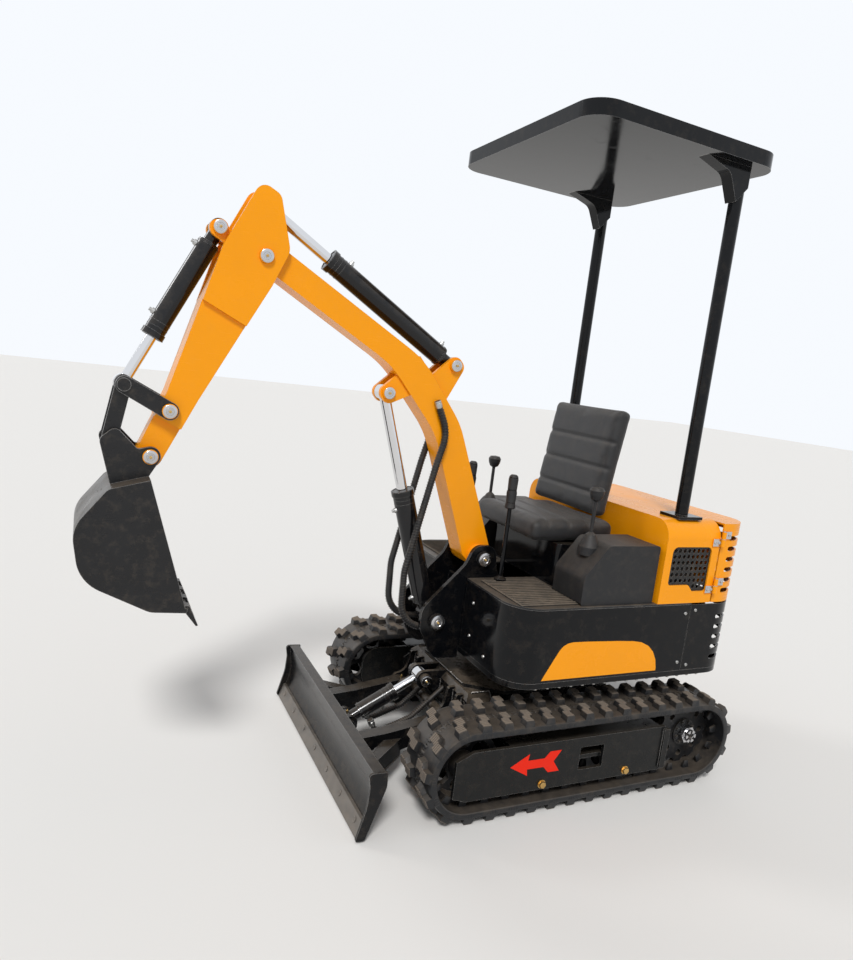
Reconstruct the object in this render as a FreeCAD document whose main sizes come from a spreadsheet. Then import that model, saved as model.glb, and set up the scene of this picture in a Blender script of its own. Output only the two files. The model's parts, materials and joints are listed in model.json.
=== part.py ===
import FreeCAD, Part
import collections
import math
import os
import Sketcher

# A mini excavator of about one tonne, in millimetres.
# x runs forward, y to its left and z up from the ground. The house slews about
# x = slew_x, y = 0, and every place below is written from that axis.

SIZES = (
    ("slew_x", -458, "slew axis ahead of the middle of the whole machine"),
    ("idler_x", 446, "axle of the front wheels"),
    ("track_pitch", 73, "one lug step along the belt; twelve lie between the wheels"),
    ("belt_inner", 113, "radius inside the belt where it goes round a wheel"),
    ("belt_thick", 22, "rubber belt without its lugs"),
    ("lug_height", 18, "lugs on the belt"),
    ("track_inner", 285, "inner edge of a belt from the middle of the machine"),
    ("track_width", 180, "belt width"),
    ("lug_long", 50, "lug along the belt"),
    ("lug_wide", 70, "lug across the belt"),
    ("lug_shift", 8, "how far the two halves of a stepped lug stand apart along the belt, halved"),
    ("lug_step", 40, "step of a lug from its end at the belt's edge"),
    ("lug_root", 4, "depth of a lug's foot in the belt"),
    ("lug_margin", 3, "edge of the belt that shows beside a lug"),
    ("frame_wall", 12, "side plates of the track frames"),
    ("frame_outer", 452, "outer face of the outer side plate"),
    ("frame_inner", 318, "inner face of the inner side plate"),
    ("frame_top", 222, "top edge of the side plates"),
    ("frame_foot", 70, "lower edge of the side plates"),
    ("frame_front", 498, "front end of the side plates"),
    ("frame_rear", -278, "rear end of the outer side plate"),
    ("frame_tail", -500, "rear end of the inner side plate"),
    ("window_rear", -30, "window in the outer side plate"),
    ("window_front", 62, "window in the outer side plate"),
    ("window_foot", 115, "window in the outer side plate"),
    ("window_top", 190, "window in the outer side plate"),
    ("shelf_front", 306, "front end of the plates between the side plates"),
    ("shelf_top", 212, "upper plate between the side plates"),
    ("shelf_mid", 157, "lower plate between the side plates"),
    ("idler_wide", 60, "rim width of a front wheel"),
    ("wheel_gap", 0.2, "radial gap between a wheel and its belt"),
    ("roller_reach", 48, "radius of a bottom roller"),
    ("roller_front_x", 193, "front bottom roller"),
    ("roller_rear_x", -130, "rear bottom roller"),
    ("deck_top", 285, "top of the centre frame"),
    ("deck_thick", 12, "deck plate"),
    ("beam_front", 352, "front face of the front beam"),
    ("beam_foot", 126, "lower edge of the front beam"),
    ("beam_half", 201, "half width of the front beam along its top"),
    ("leg_top", 200, "top of the legs that carry the track frames"),
    ("leg_foot", 130, "underside of the legs"),
    ("beam_long", 92, "front beam along the machine"),
    ("beam_reach", 275, "half width of the front beam at its foot"),
    ("tube_reach", 19, "radius of the cross tube between the strap ears"),
    ("leg_front", 170, "rear edge of the front cross members"),
    ("leg_rear", -320, "rear edge of the rear cross member"),
    ("box_rear", -235, "rear end of the box under the deck"),
    ("box_half", 190, "half width of the box under the deck"),
    ("tow_x", -350, "eye of the towing plate behind the rear legs"),
    ("tow_foot", 160, "underside of the towing plate"),
    ("tow_thick", 20, "towing plate"),
    ("tow_reach", 14, "radius of the towing eye"),
    ("ring_reach", 200, "outer radius of the slewing ring"),
    ("ring_bore", 150, "inner radius of the slewing ring"),
    ("ring_height", 72, "slewing ring"),
    ("race_gap", 5, "gap between the slewing ring and the race inside it"),
    ("race_play", 0.1, "radial play on the narrow band where the race runs"),
    ("blade_pivot_x", 410, "pivots of the blade arms"),
    ("blade_pivot_z", 151, "pivots of the blade arms"),
    ("blade_arm_y", 152, "middle of a blade arm"),
    ("blade_arm_wide", 44, "blade arm across"),
    ("ear_thick", 12, "straps that hold a blade arm"),
    ("ear_gap", 1, "side play between an arm and its straps"),
    ("ear_round", 27, "round end of a strap"),
    ("pin_reach", 14, "radius of the large pins"),
    ("pin_play", 0.05, "radial play of a pin in a bore that turns on it"),
    ("blade_half", 450, "half width of the blade"),
    ("blade_top", 199, "top of the blade"),
    ("blade_foot", 4, "cutting edge above the ground"),
    ("board_thick", 8, "blade sheet"),
    ("end_thick", 8, "blade end plates"),
    ("board_top_x", 748, "front face of the blade sheet at the top"),
    ("board_mid_x", 733, "front face where the hollow is deepest"),
    ("board_mid_z", 100, "height of the deepest place"),
    ("board_round", 180, "hollow of the blade sheet"),
    ("board_foot_x", 768, "front face of the blade sheet at the ground"),
    ("blade_pin_x", 667, "lower pin of the blade cylinder"),
    ("blade_pin_z", 120, "lower pin of the blade cylinder"),
    ("frame_pin_x", 415, "upper pin of the blade cylinder"),
    ("frame_pin_z", 254, "upper pin of the blade cylinder"),
    ("blade_stay", 285.4, "length of the blade cylinder as parked"),
    ("blade_stay_turn", 152, "its direction above level, from its lower pin"),
    ("house_half", 402, "half width of the house"),
    ("house_front", 332, "front face of the house"),
    ("house_rear", -578, "rear face of the house"),
    ("house_foot", 372, "underside of the house"),
    ("base_thick", 18, "base plate of the house"),
    ("house_top", 620, "top of the black lower panels"),
    ("front_round", 100, "bend of the front corners"),
    ("rear_round", 110, "bend of the rear corners"),
    ("panel_wall", 5, "sheet of the house panels"),
    ("seam_x", -349, "joint between side panel and rear cowl"),
    ("seam_gap", 2, "open joint between two panels"),
    ("cowl_slot_z", 422, "lowest air slot of the rear cowl"),
    ("door_slot_z", 658, "lowest air slot of the rear door"),
    ("slot_pitch", 36, "step of the air slots in height"),
    ("slot_high", 16, "height of an air slot"),
    ("slot_front", -470, "front end of the air slots"),
    ("slot_inner", 255, "where the air slots end across the rear"),
    ("cover_front", -200, "front wall of the engine cover"),
    ("cover_rear", -430, "rear end of the engine cover"),
    ("cover_top", 900, "top of the engine cover"),
    ("cover_round", 60, "bend along the top of the engine cover"),
    ("door_gap", 6, "gap round the rear door"),
    ("bracket_outer", 88, "outer face of a boom bracket plate"),
    ("bracket_wall", 14, "boom bracket plates"),
    ("foot_x", 280, "boom foot pin"),
    ("foot_z", 690, "boom foot pin"),
    ("boom_base_x", 426, "lower pin of the boom cylinder"),
    ("boom_base_z", 480, "lower pin of the boom cylinder"),
    ("boom_rise", 47, "slope of the boom as parked"),
    ("boom_long", 1150, "boom from foot pin to tip pin"),
    ("boom_wide", 90, "boom across"),
    ("boom_lug_x", 630, "cylinder pin under the boom, along it"),
    ("boom_lug_z", 70, "cylinder pin under the boom, above its line"),
    ("boom_stay", 755.2, "length of the boom cylinder as parked"),
    ("boom_stay_turn", 72.07, "its direction above level"),
    ("arm_base_x", 560, "cylinder pin on the boom's back, along it"),
    ("arm_base_z", 300, "cylinder pin on the boom's back, above its line"),
    ("arm_stay", 738.03, "length of the arm cylinder as parked"),
    ("arm_stay_turn", -16.334, "its direction from the boom's line"),
    ("arm_turn", -65, "slope of the arm above level as parked"),
    ("arm_long", 620, "arm from its pivot to the bucket pin"),
    ("arm_wide", 90, "arm across"),
    ("arm_lug_x", -130, "cylinder pin at the arm's head, along it"),
    ("arm_lug_z", 75, "cylinder pin at the arm's head, off its line"),
    ("arm_nose_half", 32, "half width of the arm's lower end, between the link plates"),
    ("fork_gap", 5, "side gap between the boom's tip and the arm's cheeks"),
    ("cheek_wall", 14, "cheeks of the arm's head"),
    ("rocker_x", 490, "rocker pin along the arm"),
    ("rocker_z", 15, "rocker pin off the arm's line"),
    ("rocker_long", 130, "rocker"),
    ("link_long", 140, "link between rocker and bucket"),
    ("rocker_turn", 92.46, "slope of the rocker from the arm's line as parked"),
    ("link_turn", -14.43, "slope of the link from the arm's line as parked"),
    ("hose_y", 44, "hoses of the blade cylinder from the middle"),
    ("bucket_turn", -40, "slope of the bucket's reach from the arm's line"),
    ("bucket_stay", 484.54, "length of the bucket cylinder as parked"),
    ("bucket_stay_turn", 1.287, "its direction from the arm's line"),
    ("bucket_base_x", 0, "cylinder pin on the arm's back, along it"),
    ("bucket_base_z", 134, "cylinder pin on the arm's back, off its line"),
    ("bucket_reach", 430, "bucket pin to cutting edge"),
    ("bucket_half", 130, "half width of the bucket"),
    ("bucket_wall", 6, "bucket plates"),
    ("engine_front", -355, "front face of the engine"),
    ("engine_rear", -545, "rear face of the engine"),
    ("engine_half", 190, "half width of the engine"),
    ("engine_top", 770, "top of the engine"),
    ("floor_thick", 6, "floor plate"),
    ("seat_box_rear", -195, "rear face of the seat box"),
    ("seat_box_front", 70, "front face of the seat box"),
    ("seat_half", 205, "half width of the seat"),
    ("cushion_rear", -170, "rear end of the cushion"),
    ("cushion_front", 180, "front end of the cushion"),
    ("cushion_thick", 80, "cushion"),
    ("back_x", -112, "foot of the backrest"),
    ("back_turn", 8, "lean of the backrest"),
    ("console_y", 316, "middle of a console"),
    ("console_half", 76, "half width of a console"),
    ("stick_x", 40, "joystick"),
    ("stick_rise", 164, "foot of a joystick above the floor"),
    ("lever_x", 235, "travel levers"),
    ("seat_height", 770, "underside of the seat cushion"),
    ("roof_height", 2010, "underside of the canopy roof"),
    ("roof_thick", 45, "canopy roof"),
    ("roof_half", 390, "half width of the canopy roof"),
    ("roof_front", 300, "front edge of the canopy roof"),
    ("roof_rear", -420, "rear edge of the canopy roof"),
    ("roof_round", 80, "corners of the canopy roof"),
    ("post_x", -310, "canopy tubes"),
    ("post_y", 330, "canopy tubes from the middle"),
    ("post_reach", 21, "radius of the canopy tubes"),
)


class Size:
    """A cell of the sheet, or a sum made from cells: its number now and its formula."""

    def __init__(self, value, text):
        self.value, self.text = value, text

    def __add__(self, other):
        other = size(other)
        return Size(self.value + other.value, f"({self.text} + {other.text})")

    def __sub__(self, other):
        other = size(other)
        return Size(self.value - other.value, f"({self.text} - {other.text})")

    def __mul__(self, other):
        other = size(other)
        return Size(self.value * other.value, f"({self.text} * {other.text})")

    def __truediv__(self, other):
        other = size(other)
        return Size(self.value / other.value, f"({self.text} / {other.text})")

    def __neg__(self):
        return Size(-self.value, f"(0 - {self.text})")

    def __radd__(self, other):
        return size(other) + self

    def __rsub__(self, other):
        return size(other) - self

    def __rmul__(self, other):
        return size(other) * self


def size(given):
    return given if isinstance(given, Size) else Size(float(given), f"({given})")


def cosine(angle):
    return Size(math.cos(math.radians(angle.value)), f"cos({angle.text} * 1 deg)")


def sine(angle):
    return Size(math.sin(math.radians(angle.value)), f"sin({angle.text} * 1 deg)")


doc = FreeCAD.newDocument("mini_excavator")
sheet = doc.addObject("Spreadsheet::Sheet", "Sizes")
for row, (alias, number, meaning) in enumerate(SIZES, 1):
    sheet.set(f"A{row}", alias)
    sheet.set(f"B{row}", str(number))
    sheet.set(f"C{row}", meaning)
    sheet.setAlias(f"B{row}", alias)
doc.recompute()
S = collections.namedtuple("Sheet", [row[0] for row in SIZES])(
    *(Size(float(number), f"Sizes.{alias}") for alias, number, meaning in SIZES))

Round = collections.namedtuple("Round", "x z radius")
PLANES = {"XY": ("XY_Plane", 1), "XZ": ("XZ_Plane", -1), "YZ": ("YZ_Plane", 1)}
V = FreeCAD.Vector
nodes = []


def new_body(name, x=0, y=0, z=0, turn=None, axis=(0, -1, 0)):
    """Start a sub-part whose own origin stands at x, y, z from the slew axis."""
    body = doc.addObject("PartDesign::Body", name)
    body.Label = name
    if turn is not None:
        body.Placement = FreeCAD.Placement(V(), FreeCAD.Rotation(V(*axis), turn.value or 1))
        body.setExpression("Placement.Rotation.Angle", turn.text)
    for letter, place in (("x", S.slew_x + x), ("y", size(y)), ("z", size(z))):
        body.setExpression(f"Placement.Base.{letter}", place.text)
    nodes.append(body)
    return body


def pin_down(sketch, geometry, vertex, x, z):
    for kind, value in (("DistanceX", x), ("DistanceY", z)):
        rule = Sketcher.Constraint(kind, -1, 1, geometry, vertex, value.value)
        sketch.setExpression(f"Constraints[{sketch.addConstraint(rule)}]", value.text)


def fix_radius(sketch, geometry, radius):
    rule = Sketcher.Constraint("Radius", geometry, radius.value)
    sketch.setExpression(f"Constraints[{sketch.addConstraint(rule)}]", radius.text)


def draw_circle(sketch, circle):
    x, z, radius = map(size, circle)
    ring = sketch.addGeometry(Part.Circle(V(x.value, z.value, 0), V(0, 0, 1), radius.value))
    pin_down(sketch, ring, 3, x, z)
    fix_radius(sketch, ring, radius)


def draw_outline(sketch, corners, closed=True):
    """Outline through corners (x, z) or, where a corner is rounded, (x, z, radius)."""
    marks = [tuple(map(size, corner)) for corner in corners]
    spots = [V(mark[0].value, mark[1].value, 0) for mark in marks]
    count = len(marks)
    bends = []
    for i, (mark, here) in enumerate(zip(marks, spots)):
        if len(mark) == 2:
            bends.append((here, here, None))
            continue
        back = (spots[i - 1] - here).normalize()
        ahead = (spots[(i + 1) % count] - here).normalize()
        half = back.getAngle(ahead) / 2
        reach = mark[2].value / math.tan(half)
        centre = here + (back + ahead).normalize() * (mark[2].value / math.sin(half))
        bends.append((here + back * reach, here + ahead * reach, centre))
    lines = []
    for i in range(count if closed else count - 1):
        start, stop = bends[i][1], bends[(i + 1) % count][0]
        lines.append(sketch.addGeometry(Part.LineSegment(start, stop)))
    if not closed:
        pin_down(sketch, lines[0], 1, *marks[0])
        pin_down(sketch, lines[-1], 2, *marks[-1])
    for i, (mark, here) in enumerate(zip(marks, spots)):
        if not closed and i in (0, count - 1):
            continue
        before, after = lines[i - 1], lines[i]
        start, stop, centre = bends[i]
        if centre is None:
            sketch.addConstraint(Sketcher.Constraint("Coincident", before, 2, after, 1))
            pin_down(sketch, after, 1, mark[0], mark[1])
            continue
        from_centre, to_centre = start - centre, stop - centre
        leftward = from_centre.cross(to_centre).z > 0
        first, last = (from_centre, to_centre) if leftward else (to_centre, from_centre)
        angles = [math.atan2(ray.y, ray.x) for ray in (first, last)]
        if angles[1] < angles[0]:
            angles[1] += 2 * math.pi
        circle = Part.Circle(centre, V(0, 0, 1), mark[2].value)
        arc = sketch.addGeometry(Part.ArcOfCircle(circle, *angles))
        corner = sketch.addGeometry(Part.Point(here), True)
        begin, end = (1, 2) if leftward else (2, 1)
        sketch.addConstraint([
            Sketcher.Constraint("Tangent", before, 2, arc, begin),
            Sketcher.Constraint("Tangent", arc, end, after, 1),
            Sketcher.Constraint("PointOnObject", corner, 1, before),
            Sketcher.Constraint("PointOnObject", corner, 1, after)])
        pin_down(sketch, corner, 1, mark[0], mark[1])
        fix_radius(sketch, arc, mark[2])


def draw_stadium(sketch, rear, front, z, radius):
    """Two half circles joined by straight runs, as a belt round two wheels."""
    ends = []
    for x, angle in ((front, -math.pi / 2), (rear, math.pi / 2)):
        circle = Part.Circle(V(x.value, z.value, 0), V(0, 0, 1), radius.value)
        ends.append(sketch.addGeometry(Part.ArcOfCircle(circle, angle, angle + math.pi)))
    for level, (first, last) in ((1, (0, 1)), (-1, (1, 0))):
        spots = [V(x.value, z.value + level * radius.value, 0) for x in (front, rear)]
        run = sketch.addGeometry(Part.LineSegment(spots[first], spots[last]))
        sketch.addConstraint([
            Sketcher.Constraint("Tangent", ends[first], 2, run, 1),
            Sketcher.Constraint("Tangent", run, 2, ends[last], 1)])
    for arc, x in zip(ends, (front, rear)):
        pin_down(sketch, arc, 3, x, z)
        fix_radius(sketch, arc, radius)


def draw(body, plane, level, shapes):
    """Put a sketch with some outlines on a plane of the body, at a level along its normal."""
    role, way = PLANES[plane]
    sketch = body.newObject("Sketcher::SketchObject", f"{body.Name}_outline")
    base = [face for face in body.Origin.OriginFeatures if face.Role == role][0]
    sketch.AttachmentSupport = [(base, "")]
    sketch.MapMode = "FlatFace"
    sketch.setExpression("AttachmentOffset.Base.z", (level * way).text)
    for shape in shapes:
        if isinstance(shape, Round):
            draw_circle(sketch, shape)
        elif callable(shape):
            shape(sketch)
        else:
            draw_outline(sketch, shape)
    return sketch


def span(plane, ends):
    low, high = sorted(map(size, ends), key=lambda end: end.value)
    return (high if plane == "XZ" else low), high - low


def pad(body, plane, ends, *shapes):
    """Raise outlines between two levels."""
    level, length = span(plane, ends)
    feature = body.newObject("PartDesign::Pad", f"{body.Name}_pad")
    feature.Profile = draw(body, plane, level, shapes)
    feature.setExpression("Length", length.text)
    return feature


def cut(body, plane, ends, *shapes):
    """Cut outlines between two levels."""
    level, length = span(plane, ends)
    feature = body.newObject("PartDesign::Pocket", f"{body.Name}_pocket")
    feature.Profile = draw(body, plane, level, shapes)
    feature.Reversed = True
    feature.setExpression("Length", length.text)
    return feature


def revolve(body, plane, axis, *shapes):
    feature = body.newObject("PartDesign::Revolution", f"{body.Name}_turned")
    sketch = draw(body, plane, size(0), shapes)
    feature.Profile = sketch
    feature.ReferenceAxis = (sketch, [axis])
    feature.Angle = 360
    return feature


def along(body, feature, letter, step, count):
    """Repeat a feature in a row; a negative step runs backwards."""
    row = body.newObject("PartDesign::LinearPattern", f"{body.Name}_row")
    axis = [line for line in body.Origin.OriginFeatures if line.Role == f"{letter}_Axis"][0]
    row.Originals = [feature]
    row.Direction = (axis, [""])
    row.Reversed = step.value < 0
    row.setExpression("Length", (step * (count - 1) * (-1 if step.value < 0 else 1)).text)
    row.Occurrences = count
    body.Tip = row
    return row


def around(body, feature, x, z, angle, count, way=1):
    """Repeat a feature round a line along y through x, z."""
    axle = body.newObject("PartDesign::Line", f"{body.Name}_axle")
    axle.Placement = FreeCAD.Placement(V(), FreeCAD.Rotation(V(0, 0, 1), V(0, -way, 0)))
    axle.setExpression("Placement.Base.x", size(x).text)
    axle.setExpression("Placement.Base.z", size(z).text)
    ring = body.newObject("PartDesign::PolarPattern", f"{body.Name}_ring")
    ring.Originals = [feature]
    ring.Axis = (axle, [""])
    ring.Angle = angle
    ring.Occurrences = count
    body.Tip = ring
    return ring


def field(body, feature, *rows):
    """Repeat a feature in rows and columns, each a letter, a step and a count."""
    grid = body.newObject("PartDesign::MultiTransform", f"{body.Name}_grid")
    grid.Originals = [feature]
    steps = []
    for letter, step, count in rows:
        row = body.newObject("PartDesign::LinearPattern", f"{body.Name}_step")
        axis = [line for line in body.Origin.OriginFeatures if line.Role == f"{letter}_Axis"][0]
        row.Direction = (axis, [""])
        row.Length = step * (count - 1)
        row.Occurrences = count
        steps.append(row)
    grid.Transformations = steps
    body.Tip = grid
    return grid


def slab(x_ends, z_ends):
    """A plain rectangle."""
    (x_low, x_high), (z_low, z_high) = x_ends, z_ends
    return [(x_low, z_low), (x_high, z_low), (x_high, z_high), (x_low, z_high)]


def placed(start, turn, x, z):
    """A point given from start along and across a line that rises by turn."""
    return (start[0] + x * cosine(turn) - z * sine(turn), start[1] + x * sine(turn) + z * cosine(turn))


SIDES = (("left", 1), ("right", -1))
wheel_z = S.belt_inner + S.belt_thick + S.lug_height
sprocket_x = S.idler_x - S.track_pitch * 12
belt_middle = S.track_inner + S.track_width / 2
belt_outer = S.belt_inner + S.belt_thick

# Rubber tracks: a belt round two wheels, with two columns of stepped lugs that
# stand half a pitch apart. Twelve pitches lie along each run, five and a half on each wheel.
PITCH_ANGLE = 360 / 11
for hand, side in SIDES:
    belt = new_body(f"track_{hand}")
    edges = side * S.track_inner, side * (S.track_inner + S.track_width)
    pad(belt, "XZ", edges,
        lambda sketch: draw_stadium(sketch, sprocket_x, S.idler_x, wheel_z, belt_outer),
        lambda sketch: draw_stadium(sketch, sprocket_x, S.idler_x, wheel_z, S.belt_inner))
    for near, run in ((S.track_inner + S.track_width - S.lug_margin, 1), (S.track_inner + S.lug_margin, -1)):
        far = near - S.lug_wide * run
        step = near - S.lug_step * run
        shift = S.lug_shift * run
        half = S.lug_long / 2 - S.lug_shift
        RUNS = (
            (S.idler_x - S.track_pitch, 1, "row", 11), (S.idler_x - S.track_pitch / 2, -1, "row", 12),
            (S.idler_x, 1, "ring", run), (sprocket_x, 1, "ring", -run))
        for x, lie, kind, count in RUNS:
            outline = [
                (x - half - shift, side * near), (x + half - shift, side * near),
                (x + half + shift, side * step), (x + half + shift, side * far),
                (x - half + shift, side * far), (x - half - shift, side * step)]
            root = wheel_z - (belt_outer - S.lug_root) * run * lie
            tip = wheel_z - (belt_outer + S.lug_height) * run * lie
            lug = pad(belt, "XY", (root, tip), outline)
            if kind == "row":
                along(belt, lug, "X", -S.track_pitch, count)
            else:
                around(belt, lug, x, wheel_z, 5 * PITCH_ANGLE, 6, count)

# Track frames: two side plates with chamfered noses, joined by a top plate and a
# shelf over the rollers. The outer plate has a square window.
for hand, side in SIDES:
    frame = new_body(f"track_frame_{hand}")
    nose = [
        (S.frame_front - 55, S.frame_top), (S.frame_front, S.frame_top - 25),
        (S.frame_front, S.frame_foot + 15), (S.frame_front - 45, S.frame_foot)]
    outer = side * (S.frame_outer - S.frame_wall), side * S.frame_outer
    inner = side * S.frame_inner, side * (S.frame_inner + S.frame_wall)
    between = inner[1], outer[0]
    plate = [(S.frame_rear, S.frame_top)] + nose + [(S.frame_rear, S.frame_foot)]
    window = slab((S.window_rear, S.window_front), (S.window_foot, S.window_top))
    pad(frame, "XZ", outer, plate, [(x, z, 6) for x, z in window])
    tail = [
        (S.frame_tail, S.frame_top, 40), (S.frame_front, S.frame_top, 60),
        (S.frame_front, S.frame_foot, 50), (-340, S.frame_foot), (S.frame_tail, 96, 40)]
    pad(frame, "XZ", inner, tail, Round(sprocket_x, wheel_z, 40))
    pad(frame, "XZ", between,
        slab((S.frame_rear, S.shelf_front), (S.shelf_top - S.frame_wall, S.shelf_top)))
    pad(frame, "XZ", between,
        slab((S.frame_rear + 30, S.shelf_front), (S.shelf_mid - S.frame_wall, S.shelf_mid)))
    pad(frame, "XZ", (side * (S.frame_outer - 4), side * (S.frame_outer + 8)),
        slab((S.frame_rear - 14, S.frame_rear + 8), (S.frame_foot + 8, S.frame_top - 8)))

# Front wheels: a rim and a hub joined by a web with six oval openings, on an axle
# held between the side plates.
for hand, side in SIDES:
    idler = new_body(f"idler_{hand}", S.idler_x, side * belt_middle, wheel_z)
    rim = S.belt_inner - S.wheel_gap
    half = S.idler_wide / 2
    hub_in = S.frame_inner + S.frame_wall - belt_middle
    hub_out = S.frame_outer - S.frame_wall - belt_middle
    profile = [
        (-half, rim), (half, rim), (half, rim - 18), (9, rim - 24), (9, 42), (45, 38),
        (45, 16), (hub_out, 16), (hub_out, 0), (hub_in, 0), (hub_in, 38), (-9, 42), (-9, rim - 24),
        (-half, rim - 18)]
    revolve(idler, "YZ", "H_Axis", [(side * mark[0],) + mark[1:] for mark in profile])
    web = cut(idler, "XZ", (-12, 12), [(-22, 48, 12), (22, 48, 12), (30, 82, 14), (-30, 82, 14)])
    around(idler, web, 0, 0, 360, 6)

# Final drives: a travel motor through the inner side plate, with a drive wheel of
# eleven teeth that fit the belt and eight round holes.
for hand, side in SIDES:
    drive = new_body(f"sprocket_{hand}", sprocket_x, 0, wheel_z)
    disc = side * (belt_middle - 10), side * (belt_middle + 10)
    pad(drive, "XZ", disc, Round(0, 0, S.belt_inner - S.wheel_gap))
    notch = cut(drive, "XZ", disc, Round(0, S.belt_inner + 7, 19))
    around(drive, notch, 0, 0, 360, 11)
    hole = cut(drive, "XZ", disc, Round(0, 80, 11))
    around(drive, hole, 0, 0, 360, 8)
    plate_out = side * (S.frame_inner + S.frame_wall)
    pad(drive, "XZ", (plate_out, side * (belt_middle - 8)), Round(0, 0, 64))
    pad(drive, "XZ", (side * (belt_middle + 8), side * (belt_middle + 18)), Round(0, 0, 46))
    pad(drive, "XZ", (side * (S.frame_inner - 2), plate_out), Round(0, 0, 40))
    pad(drive, "XZ", (side * (S.track_inner - 22), side * S.frame_inner), Round(0, 0, 52))
    nut = new_body(f"hub_nut_{hand}", sprocket_x, 0, wheel_z)
    faces = [side * (belt_middle + offset) for offset in (18, 40, 52)]
    apothem = 26
    corner = apothem / math.cos(math.pi / 6)
    angles = [k * math.pi / 3 for k in range(6)]
    hexagon = [(round(corner * math.cos(a), 3), round(corner * math.sin(a), 3)) for a in angles]
    pad(nut, "XZ", faces[:2], hexagon)
    pad(nut, "XZ", faces[1:], Round(0, 0, 22), Round(0, 0, 12))
    slot = cut(nut, "XZ", faces[1:], slab((-4, 4), (6, 26)))
    around(nut, slot, 0, 0, 360, 6)

# Bottom rollers: two flanged drums a side, on axles between the side plates.
for hand, side in SIDES:
    for place, x in (("front", S.roller_front_x), ("rear", S.roller_rear_x)):
        roller_z = wheel_z - S.belt_inner + S.roller_reach
        roller = new_body(f"roller_{place}_{hand}", x, side * belt_middle, roller_z)
        drum = S.roller_reach - S.wheel_gap
        reach_in = S.frame_inner + S.frame_wall - belt_middle
        reach_out = S.frame_outer - S.frame_wall - belt_middle
        ends = (reach_in, reach_out) if side > 0 else (-reach_out, -reach_in)
        revolve(roller, "YZ", "H_Axis", [
            (ends[0], 0), (ends[0], 14), (-40, 14), (-40, drum - 3), (-37, drum), (-18, drum), (-12, drum - 16),
            (12, drum - 16), (18, drum), (37, drum), (40, drum - 3), (40, 14), (ends[1], 14), (ends[1], 0)])

# Centre frame: a box and a front beam with sloping ends. The deck plate lies on both,
# and cross members carry the track frames; the rear one has the towing eye.
center = new_body("center_frame")
beam_rear = S.beam_front - S.beam_long
deck_foot = S.deck_top - S.deck_thick
pad(center, "YZ", (beam_rear, S.beam_front), [
    (-S.beam_half, deck_foot), (S.beam_half, deck_foot),
    (S.beam_reach, S.leg_top), (S.beam_reach, S.beam_foot),
    (S.blade_arm_y - 50, S.beam_foot), (S.blade_arm_y - 80, S.beam_foot + 50),
    (-S.blade_arm_y + 80, S.beam_foot + 50), (-S.blade_arm_y + 50, S.beam_foot),
    (-S.beam_reach, S.beam_foot), (-S.beam_reach, S.leg_top)])
pad(center, "XY", (S.leg_foot, deck_foot), slab((S.box_rear, beam_rear + 5), (-S.box_half, S.box_half)))
bevel = S.beam_front - 24
bevel_slope = size(26) / 32
bevel_foot = S.deck_top - (S.beam_front - bevel) / bevel_slope
cut(center, "XZ", (-S.track_inner, S.track_inner), [
    (bevel, S.deck_top), (S.beam_front + 2, S.deck_top), (S.beam_front + 2, S.deck_top - 32)])
for side in (1, -1):
    cut(center, "YZ", (S.beam_front - 60, S.beam_front + 1), Round(side * S.hose_y, S.deck_top - 62, 20))

deck = new_body("deck_plate")
pad(deck, "XY", (deck_foot, S.deck_top), [
    (-250, -170), (-190, -230), (220, -230), (bevel, -150), (bevel, 150), (220, 230), (-190, 230), (-250, 170)])

members = new_body("cross_members")
pad(members, "XY", (S.leg_foot, S.leg_top), slab((S.leg_rear, S.box_rear), (-S.frame_inner, S.frame_inner)))
for side in (1, -1):
    pad(members, "XY", (S.leg_foot, S.leg_top),
        slab((S.leg_front, beam_rear), (side * S.box_half, side * S.frame_inner)))
pad(members, "XY", (S.tow_foot, S.tow_foot + S.tow_thick), [
    (-300, -60), (-300, 60), (S.tow_x - 28, 30, 24), (S.tow_x - 28, -30, 24)])
cut(members, "XY", (S.tow_foot - 1, S.tow_foot + S.tow_thick + 1), Round(S.tow_x, 0, S.tow_reach))

# Front ears: curved straps with the pins of the blade arms, and between them the
# clevis of the blade cylinder, all welded to the front beam and its bevel.
ears = new_body("front_ears")
pivot = S.blade_pivot_x, S.blade_pivot_z
strap_reach = pivot[0] + S.ear_round
strap_top = S.deck_top - 20
strap = [
    (S.beam_front, pivot[1] - S.ear_round), (strap_reach, pivot[1] - S.ear_round, S.ear_round - 0.5),
    (strap_reach, pivot[1] + S.ear_round, S.ear_round - 0.5), (pivot[0] - 26, pivot[1] + 40, 40),
    (S.beam_front + 18, strap_top, 8), (bevel + 20 * bevel_slope, strap_top), (S.beam_front, bevel_foot)]
inner_ear = S.blade_arm_y - S.blade_arm_wide / 2 - S.ear_gap
outer_ear = S.blade_arm_y + S.blade_arm_wide / 2 + S.ear_gap
head_in = outer_ear + S.ear_thick
for face in (inner_ear - S.ear_thick, outer_ear):
    for side in (1, -1):
        pad(ears, "XZ", (side * face, side * (face + S.ear_thick)), strap)
for side in (1, -1):
    pad(ears, "XZ", (side * inner_ear, side * outer_ear), Round(*pivot, S.pin_reach))
    pad(ears, "XZ", (side * head_in, side * (head_in + 8)), Round(*pivot, 21))
tube = new_body("cross_tube")
pad(tube, "XZ", (S.ear_thick - inner_ear, inner_ear - S.ear_thick),
    Round(S.beam_front + S.tube_reach, S.blade_pivot_z + 4, S.tube_reach))
lug_round = 28
frame_pin = S.frame_pin_x, S.frame_pin_z
clevis_top = frame_pin[1] + lug_round
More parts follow.
